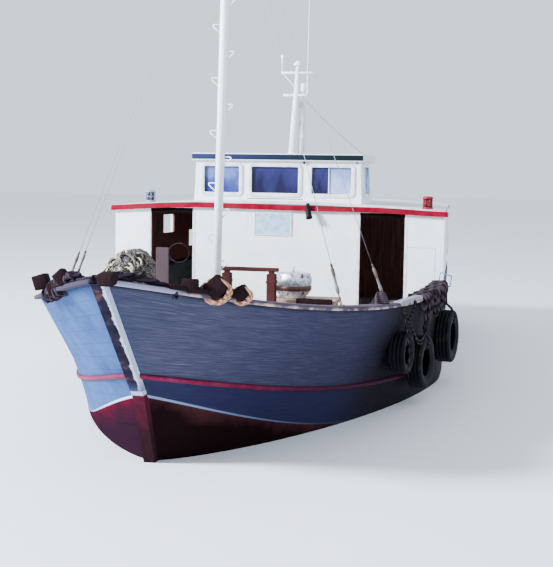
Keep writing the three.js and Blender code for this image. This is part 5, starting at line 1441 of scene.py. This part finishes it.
def rounded_ring(made, low, high, corner, width, depth, place):
    """A raised frame round an opening: a rounded outline, less the same outline drawn in by its width."""
    part = bmesh.new()
    size = Vector((high[0] - low[0], high[1] - low[1], 1))
    middle = Vector(((high[0] + low[0]) / 2, (high[1] + low[1]) / 2, 0))
    bmesh.ops.create_grid(part, x_segments=1, y_segments=1, size=0.5, matrix=Matrix.Translation(middle)
                          @ Matrix.Diagonal((*size, 1)))
    bmesh.ops.bevel(part, geom=part.verts[:], offset=corner, affect="VERTICES", segments=8, profile=0.5,
                    material=-1)
    sheet_face = part.faces[:]
    bmesh.ops.inset_region(part, faces=sheet_face, thickness=width, depth=0, use_boundary=True)
    bmesh.ops.delete(part, geom=[face for face in sheet_face if face.is_valid], context="FACES")
    raised = bmesh.ops.extrude_face_region(part, geom=part.faces[:], use_keep_orig=True)["geom"]
    bmesh.ops.translate(part, verts=[item for item in raised if isinstance(item, bmesh.types.BMVert)],
                        vec=(0, 0, depth))
    bmesh.ops.recalc_face_normals(part, faces=part.faces)
    rims = [line for line in part.edges if line.calc_face_angle(0) > 1.0 and line.verts[0].co.z > depth * 0.5
            and line.verts[1].co.z > depth * 0.5]
    bmesh.ops.bevel(part, geom=rims, offset=min(0.006, depth * 0.4), affect="EDGES", segments=2, profile=0.5,
                    material=-1)
    bmesh.ops.transform(part, matrix=place, verts=part.verts)
    join_in(made, part)


facing_forward = Matrix(((0, 0, 1, 0), (1, 0, 0, 0), (0, 1, 0, 0), (0, 0, 0, 1)))
frames = bmesh.new()
for low_y, high_y in FRONT_WINDOWS:
    rounded_ring(frames, (low_y - 0.055, WINDOW_LOW_Z - 0.055), (high_y + 0.055, WINDOW_TOP_Z + 0.04), 0.085,
                 0.063, 0.022, Matrix.Translation((WHEEL_FRONT_X - 0.001, 0, 0)) @ facing_forward)
add_piece("wheelhouse_front_frames", frames, trim_paint)

# Panes: toughened glass set in rubber. Their colour holds painted shade where the cabin shows and a painted
# sky reflection, lighter towards the top. The port front window slides and stands half open.
glass, tree, shader = start_material("tinted_glass_with_painted_shade_and_sky", 0.06,
                                     {"Transmission Weight": 0.15, "IOR": 1.5, "Coat Weight": 0.15,
                                      "Specular IOR Level": 0.25})
place = add_node(tree, "TexCoord", out="Object")
axes = add_node(tree, "SeparateXYZ", {0: place}).node.outputs
streak_place = add_node(tree, "Mapping", {"Vector": place, "Rotation": (0.5, 0, 0), "Scale": (1, 2.6, 1.2)})
haze = add_node(tree, "TexNoise", {"Vector": streak_place, "Scale": 1.6, "Detail": 5.0})
# Painted reflection: the panes grow lighter towards the top.
height = add_node(tree, "MapRange", {"Value": axes["Z"], 1: 2.93, 2: 3.39, 3: -0.12, 4: 0.18})
haze_and_sky_gradient = add_node(tree, "Math", {0: haze, 1: height}, operation="ADD")
cabin_shade_pane = add_node(tree, "ValToRGB", {0: haze_and_sky_gradient}, [(0.35, "#150F38"), (0.7, "#2B2D60")])
clear_pane = add_node(tree, "ValToRGB", {0: haze_and_sky_gradient},
                      [(0.35, "#2C3682"), (0.55, "#465299"), (0.62, "#6676B4")])
sky_reflection_pane = add_node(tree, "ValToRGB", {0: haze_and_sky_gradient}, [(0.35, "#B2C2E9"), (0.6, "#8498D1")])
first = add_node(tree, "Math", {0: axes["Y"], 1: -0.5}, operation="LESS_THAN")
last = add_node(tree, "Math", {0: axes["Y"], 1: 0.86}, operation="GREATER_THAN")
glass_colour = add_node(tree, "Mix", {0: first, 6: cabin_shade_pane, 7: clear_pane}, **MIX_COLOURS)
glass_colour = add_node(tree, "Mix", {0: last, 6: glass_colour, 7: sky_reflection_pane}, **MIX_COLOURS)
set_inputs(shader, {"Base Color": glass_colour})
refinish(glass, "window_front_1", "window_front_2", "window_front_3", "window_port", "window_starboard")
sliding = bmesh.new()
rounded_ring(sliding, (0.86, WINDOW_LOW_Z - 0.004), (1.25, WINDOW_TOP_Z + 0.004), 0.02, 0.022, 0.012,
             Matrix.Translation((WHEEL_FRONT_X - 0.022, 0, 0)) @ facing_forward)
add_piece("sliding_window_frame", sliding, trim_paint)

# Fittings: a small horn between the windows, a lamp socket at the corner and a moulding under the middle
# window, of metal in dark grey paint, screwed on.
fittings_paint = start_material("dark_grey_fittings_paint", 0.5, {"Base Color": srgb("#3C4046")})[0]
fittings = bmesh.new()
turned(fittings, [(0, 0), (0.014, 0), (0.016, 0.03), (0.028, 0.06), (0.03, 0.064), (0.022, 0.06),
                  (0.01, 0.035), (0, 0.035)], Matrix.Translation((WHEEL_FRONT_X, 0.47, 3.445))
       @ upright((1, 0, 0)), 20)
turned(fittings, [(0, 0), (0.018, 0), (0.018, 0.02), (0.01, 0.03), (0, 0.03)],
       Matrix.Translation((WHEEL_FRONT_X, 1.33, 3.455)) @ upright((1, 0, 0)), 16)
timber(fittings, (WHEEL_FRONT_X + 0.0005, -0.5, 2.838), (WHEEL_FRONT_X + 0.008, 0.44, 2.85), 0.002)
add_piece("wheelhouse_front_fittings", fittings, fittings_paint)

# Side windows have the same raised frames of painted aluminium, screwed to walls that lean in towards the
# roof.
side_frames = bmesh.new()
for side in (-1, 1):
    facing_out = Matrix(((1, 0, 0, 0), (0, 0, side, 0), (0, 1, 0, 0), (0, 0, 0, 1)))
    lean = Matrix.Rotation(side * math.atan(0.03 / 0.71), 4, "X")
    middle_z = (WINDOW_LOW_Z + WINDOW_TOP_Z) / 2
    stand = Matrix.Translation((0, side * (wheel_half(middle_z) - 0.001), middle_z)) @ lean
    rounded_ring(side_frames, (-1.05 - 0.05, -0.28), (-0.35 + 0.05, 0.28), 0.085, 0.058, 0.016,
                 stand @ facing_out)
add_piece("wheelhouse_side_frames", side_frames, trim_paint)

# Wheelhouse roof: a thick plywood slab screwed down on the walls, its edge painted dark blue-green, its top
# and underside pale grey.
wheel_roof_paint, tree, shader = start_material("blue_green_edge_paint", 0.6, {"Specular IOR Level": 0.15})
place = add_node(tree, "TexCoord", out="Object")
axes = add_node(tree, "SeparateXYZ", {0: place}).node.outputs
worn = add_node(tree, "TexNoise", {"Vector": place, "Scale": 6.0, "Detail": 6.0})
side_share = add_node(tree, "MapRange", {"Value": axes["Y"], 1: -1.2, 2: 1.3})
worn_side = add_node(tree, "Math", {0: worn, 1: 0.2, 2: side_share}, operation="MULTIPLY_ADD")
edge_colour = add_node(tree, "ValToRGB", {0: worn_side},
                       [(0.05, "#12204A"), (0.6, "#0A1830"), (1.1, "#06191E")])
top_share = add_node(tree, "MapRange", {"Value": axes["Z"], 1: 3.568, 2: 3.572})
under_share = add_node(tree, "MapRange", {"Value": axes["Z"], 1: 3.484, 2: 3.48})
pale_share = add_node(tree, "Math", {0: top_share, 1: under_share}, operation="MAXIMUM")
port_end = add_node(tree, "Math", {0: axes["Y"], 1: 1.437}, operation="GREATER_THAN")
pale_share = add_node(tree, "Math", {0: pale_share, 1: port_end}, operation="MAXIMUM")
roof_colour = add_node(tree, "Mix", {0: pale_share, 6: edge_colour, 7: srgb("#D6DDE2")}, **MIX_COLOURS)
set_inputs(shader, {"Base Color": roof_colour})
wheel_roof = bmesh.new()
timber(wheel_roof, (WHEEL_AFT_X - 0.09, -1.44, WHEEL_TOP_Z + 0.0005), (WHEEL_FRONT_X + 0.07, 1.44, 3.587),
       0.012)
wheel_roof_piece = add_piece("wheelhouse_roof_slab", wheel_roof, wheel_roof_paint)
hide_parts("wheelhouse_roof")

# Inside: a platform of varnished pine boards, and on it a helm stand and a six-spoked wheel of mahogany,
# glossy with varnish.
helm_wood = timber_finish("varnished_mahogany", "#7A4A2E", "#3C2015", along="Z", grain_mm=7, roughness=0.3,
                          gloss=0.5)
refinish(helm_wood, "helm_stand", "helm_wheel")
platform_wood = timber_finish("varnished_pine_boards", "#6B4E36", "#3A281C", along="X", grain_mm=9,
                              board_mm=140)
refinish(platform_wood, "wheelhouse_platform")

# Roof mast: a white-painted steel tube raked aft and bolted down by its flange, with two welded crossbars,
# a masthead lamp, a cup aerial and a small lamp.
ROOF_MAST_X = -1.3
ROOF_MAST_TIP_X = -1.74
ROOF_MAST_FOOT = 3.588
ROOF_MAST_TOP = 5.18


def roof_mast_x(z):
    return lerp(ROOF_MAST_X, ROOF_MAST_TIP_X, (z - ROOF_MAST_FOOT) / (ROOF_MAST_TOP - ROOF_MAST_FOOT))


rake = upright((ROOF_MAST_TIP_X - ROOF_MAST_X, 0, ROOF_MAST_TOP - ROOF_MAST_FOOT))
roof_mast = bmesh.new()
mast_length = math.hypot(ROOF_MAST_TIP_X - ROOF_MAST_X, ROOF_MAST_TOP - ROOF_MAST_FOOT)
turned(roof_mast, [(0, 0.02), (0.062, 0.02), (0.036, mast_length - 0.02), (0, mast_length - 0.02)],
       Matrix.Translation((ROOF_MAST_X, 0, ROOF_MAST_FOOT)) @ rake, 32)
turned(roof_mast, [(0, 0), (0.095, 0), (0.095, 0.022), (0.09, 0.026), (0.07, 0.028), (0.062, 0.05),
                   (0, 0.05)], Matrix.Translation((ROOF_MAST_X, 0, ROOF_MAST_FOOT)), 32)
turned(roof_mast, [(0, -0.01), (0.075, -0.01), (0.08, 0.0), (0.074, 0.028), (0.05, 0.03), (0.05, 0.038),
                   (0.034, 0.062), (0.012, 0.07), (0, 0.07)],
       Matrix.Translation((ROOF_MAST_TIP_X, 0, ROOF_MAST_TOP)), 32)
for z, low_y, high_y in ((5.04, -0.29, 0.32), (4.64, -0.225, 0.225)):
    crossbar = [(roof_mast_x(z), lerp(low_y, high_y, share), z) for share in (0, 0.25, 0.5, 0.75, 1)]
    swept_rod(roof_mast, crossbar, 0.021, 12)
cup_x = roof_mast_x(5.04)
turned(roof_mast, [(0, 0), (0.013, 0), (0.013, 0.24), (0.018, 0.25), (0.033, 0.316), (0.03, 0.32),
                   (0.014, 0.262), (0, 0.262)], Matrix.Translation((cup_x, -0.275, 5.03)), 20)
swept_rod(roof_mast, [(cup_x, -0.265, 5.03), (roof_mast_x(4.9), -0.14, 4.9),
                      (roof_mast_x(4.76), -0.01, 4.76)], 0.008, 8)
turned(roof_mast, [(0, 0), (0.01, 0), (0.01, 0.06), (0.036, 0.064), (0.042, 0.075), (0.042, 0.195),
                   (0.034, 0.205), (0.01, 0.21), (0, 0.21)],
       Matrix.Translation((roof_mast_x(4.64) + 0.004, 0.13, 4.64)), 20)
roof_mast_piece = add_piece("roof_mast_tube", roof_mast, mast_paint)
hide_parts("roof_mast")

# Beside it stand a hooded steel exhaust stack in off-white heat paint, and a whip aerial of white
# fibreglass clamped to the lower crossbar.
stack_paint = mottled_finish("off_white_heat_paint", 0.5, 6.0, 7.0, [(0.35, "#D0C4C2"), (0.6, "#EFE6E4")])
stack = bmesh.new()
stack_foot = Vector((ROOF_MAST_X - 0.09, 0.148, ROOF_MAST_FOOT + 0.02))
stack_head = Vector((ROOF_MAST_X - 0.37, 0.085, 4.5))
stack_length = (stack_head - stack_foot).length
turned(stack, [(0, 0), (0.058, 0), (0.058, 0.3), (0.0595, 0.302), (0.0595, 0.32), (0.058, 0.322),
               (0.058, stack_length - 0.01), (0.05, stack_length + 0.012), (0.02, stack_length + 0.05),
               (0, stack_length + 0.052)], Matrix.Translation(stack_foot) @ upright(stack_head - stack_foot),
       32)
timber(stack, (ROOF_MAST_X - 0.17, 0.1, ROOF_MAST_FOOT), (ROOF_MAST_X - 0.01, 0.23, ROOF_MAST_FOOT + 0.024),
       0.005)
stack_piece = add_piece("exhaust_stack_tube", stack, stack_paint)
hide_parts("exhaust_stack")

whip_plastic = start_material("white_fibreglass", 0.4, {"Base Color": srgb("#DCE4EA")})[0]
whip = bmesh.new()
whip_z = 4.659
whip_x = roof_mast_x(whip_z)
turned(whip, [(0, 0), (0.02, 0), (0.02, 0.05), (0.017, 0.055), (0.017, 0.31), (0.0125, 0.33), (0, 0.332)],
       Matrix.Translation((whip_x, 0.205, whip_z)), 20)
swept_rod(whip, [(whip_x, 0.205 + 0.03 * share ** 2, whip_z + lerp(0.32, 2.5, share))
                 for share in (0, 0.2, 0.4, 0.6, 0.8, 1)], lambda share: lerp(0.011, 0.006, share), 10)
whip_piece = add_piece("whip_antenna_rod", whip, whip_plastic)
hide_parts("whip_antenna")

# A thin wire stay, painted dark grey, runs from the lower crossbar to the port edge of the wheelhouse roof
# and is drawn tight.
mast_stay = bmesh.new()
swept_rod(mast_stay, [(-1.6, 0.16, 4.56), (-1.05, 0.66, 4.13), (-0.6, 1.08, 3.82), (-0.2, 1.41, 3.585)],
          0.004, 6)
add_piece("roof_mast_stay", mast_stay, fittings_paint)

# Side lanterns: sheet-metal lamps screwed to the roof's front edge, a glass lens behind eight bars, painted
# red to port and blue-grey to starboard.
lantern_red = start_material("red_lantern_paint", 0.35,
                             {"Base Color": srgb("#8E0C1E"), "Specular IOR Level": 0.3})[0]
lantern_grey = start_material("blue_grey_lantern_paint", 0.45, {"Base Color": srgb("#7F8EA8")})[0]
red_glass = start_material("ruby_lens_glass", 0.08, {"Base Color": srgb("#5A0612")})[0]
lens_dark = start_material("dark_lens_glass", 0.1, {"Base Color": srgb("#1C2230")})[0]
for word, y, paint, slot_name in (("port", 2.492, lantern_red, "lantern_red"),
                                  ("starboard", -2.17, lantern_grey, "lantern_grey")):
    stand = Matrix.Translation((-0.06, y, camber_z(y) + 0.054))
    lamp = bmesh.new()
    turned(lamp, [(0, 0), (0.086, 0), (0.09, 0.004), (0.09, 0.022), (0.08, 0.028), (0.066, 0.03),
                  (0.066, 0.034), (0, 0.034)], stand, 32)
    turned(lamp, [(0, 0.16), (0.066, 0.16), (0.087, 0.165), (0.09, 0.17), (0.084, 0.188), (0.066, 0.2),
                  (0.03, 0.205), (0, 0.205)], stand, 32)
    for bar in range(8):
        angle = math.tau * (bar + 0.5) / 8
        foot = stand @ Vector((0.076 * math.cos(angle), 0.076 * math.sin(angle), 0.026))
        swept_rod(lamp, [foot, foot + Vector((0, 0, 0.07)), foot + Vector((0, 0, 0.14))], 0.006, 8)
    guard = [stand @ Vector((0.077 * fore, 0.077 * out, 0.095)) for fore, out in round_steps(24)]
    swept_rod(lamp, guard, 0.006, 8, closed=True)
    lamp_piece = add_piece(f"side_lantern_{word}", lamp, paint)
    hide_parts(f"nav_light_{word}")
    lens = bmesh.new()
    turned(lens, [(0, 0.033), (0.062, 0.033), (0.068, 0.05), (0.068, 0.145), (0.062, 0.161), (0, 0.161)],
           stand, 32)
    add_piece(f"side_lantern_lens_{word}", lens, red_glass if word == "port" else lens_dark)

# Deck lamp: a spun tin shade in dull black stove enamel, hung from a bracket on the roof's front edge to
# light the foredeck.
lamp_black = start_material("black_stove_enamel", 0.6,
                            {"Specular IOR Level": 0.15, "Base Color": srgb("#0A0A12")})[0]
deck_lamp = bmesh.new()
timber(deck_lamp, (0.0745, 0.537, 2.692), (0.133, 0.588, 2.788), 0.006)
shade_from = Vector((0.113, 0.562, 2.71))
shade_to = Vector((0.168, 0.602, 2.54))
reach = (shade_to - shade_from).length
turned(deck_lamp, [(0, -0.01), (0.03, -0.008), (0.038, 0), (0.04, 0.05), (0.053, reach - 0.02),
                   (0.055, reach), (0.05, reach - 0.006), (0.03, reach - 0.03), (0, reach - 0.03)],
       Matrix.Translation(shade_from) @ upright(shade_to - shade_from), 28)
deck_lamp_piece = add_piece("deck_lamp_shade", deck_lamp, lamp_black)
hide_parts("deck_lamp")

# Below decks and under water: a cast iron engine in grey-green machinery paint, bolted to its bearers, and
# a polished bronze propeller keyed to its shaft.
engine_paint = start_material("grey_green_machinery_paint", 0.5, {"Base Color": srgb("#5F6F66")})[0]
refinish(engine_paint, "engine_block")
bronze = start_material("cast_bronze", 0.3, {"Metallic": 1.0, "Base Color": srgb("#A87B42")})[0]
refinish(bronze, "propeller")

# Floor and backdrop: a plain pale matt floor at the waterline, wide enough to reach the horizon, and open
# where the hull floats in it.
floor = bmesh.new()
waterline = [hull_point(u, 0.0, 0.03) for u in hull_columns(60, 0.995, -0.995)]
rim = [floor.verts.new(point) for point in waterline]
rim += [floor.verts.new((point.x, -point.y, 0)) for point in reversed(waterline)]
FLOOR_REACH = 160
outer_rim = [floor.verts.new((FLOOR_REACH * fore, FLOOR_REACH * out, 0))
             for fore, out in round_steps(len(rim))]
sides = [floor.edges.new(pair) for ring in (rim, outer_rim) for pair in zip(ring, ring[1:] + ring[:1])]
bmesh.ops.triangle_fill(floor, use_beauty=True, edges=sides)
floor_paint = start_material("plain_pale_floor", 0.8, {"Base Color": srgb("#F2F4F7")})[0]
floor_shape = bpy.data.meshes.new("floor")
bmesh.ops.recalc_face_normals(floor, faces=floor.faces)
floor.to_mesh(floor_shape)
floor.free()
floor_shape.materials.append(floor_paint)
floor_piece = bpy.data.objects.new("floor", floor_shape)
bpy.context.scene.collection.objects.link(floor_piece)
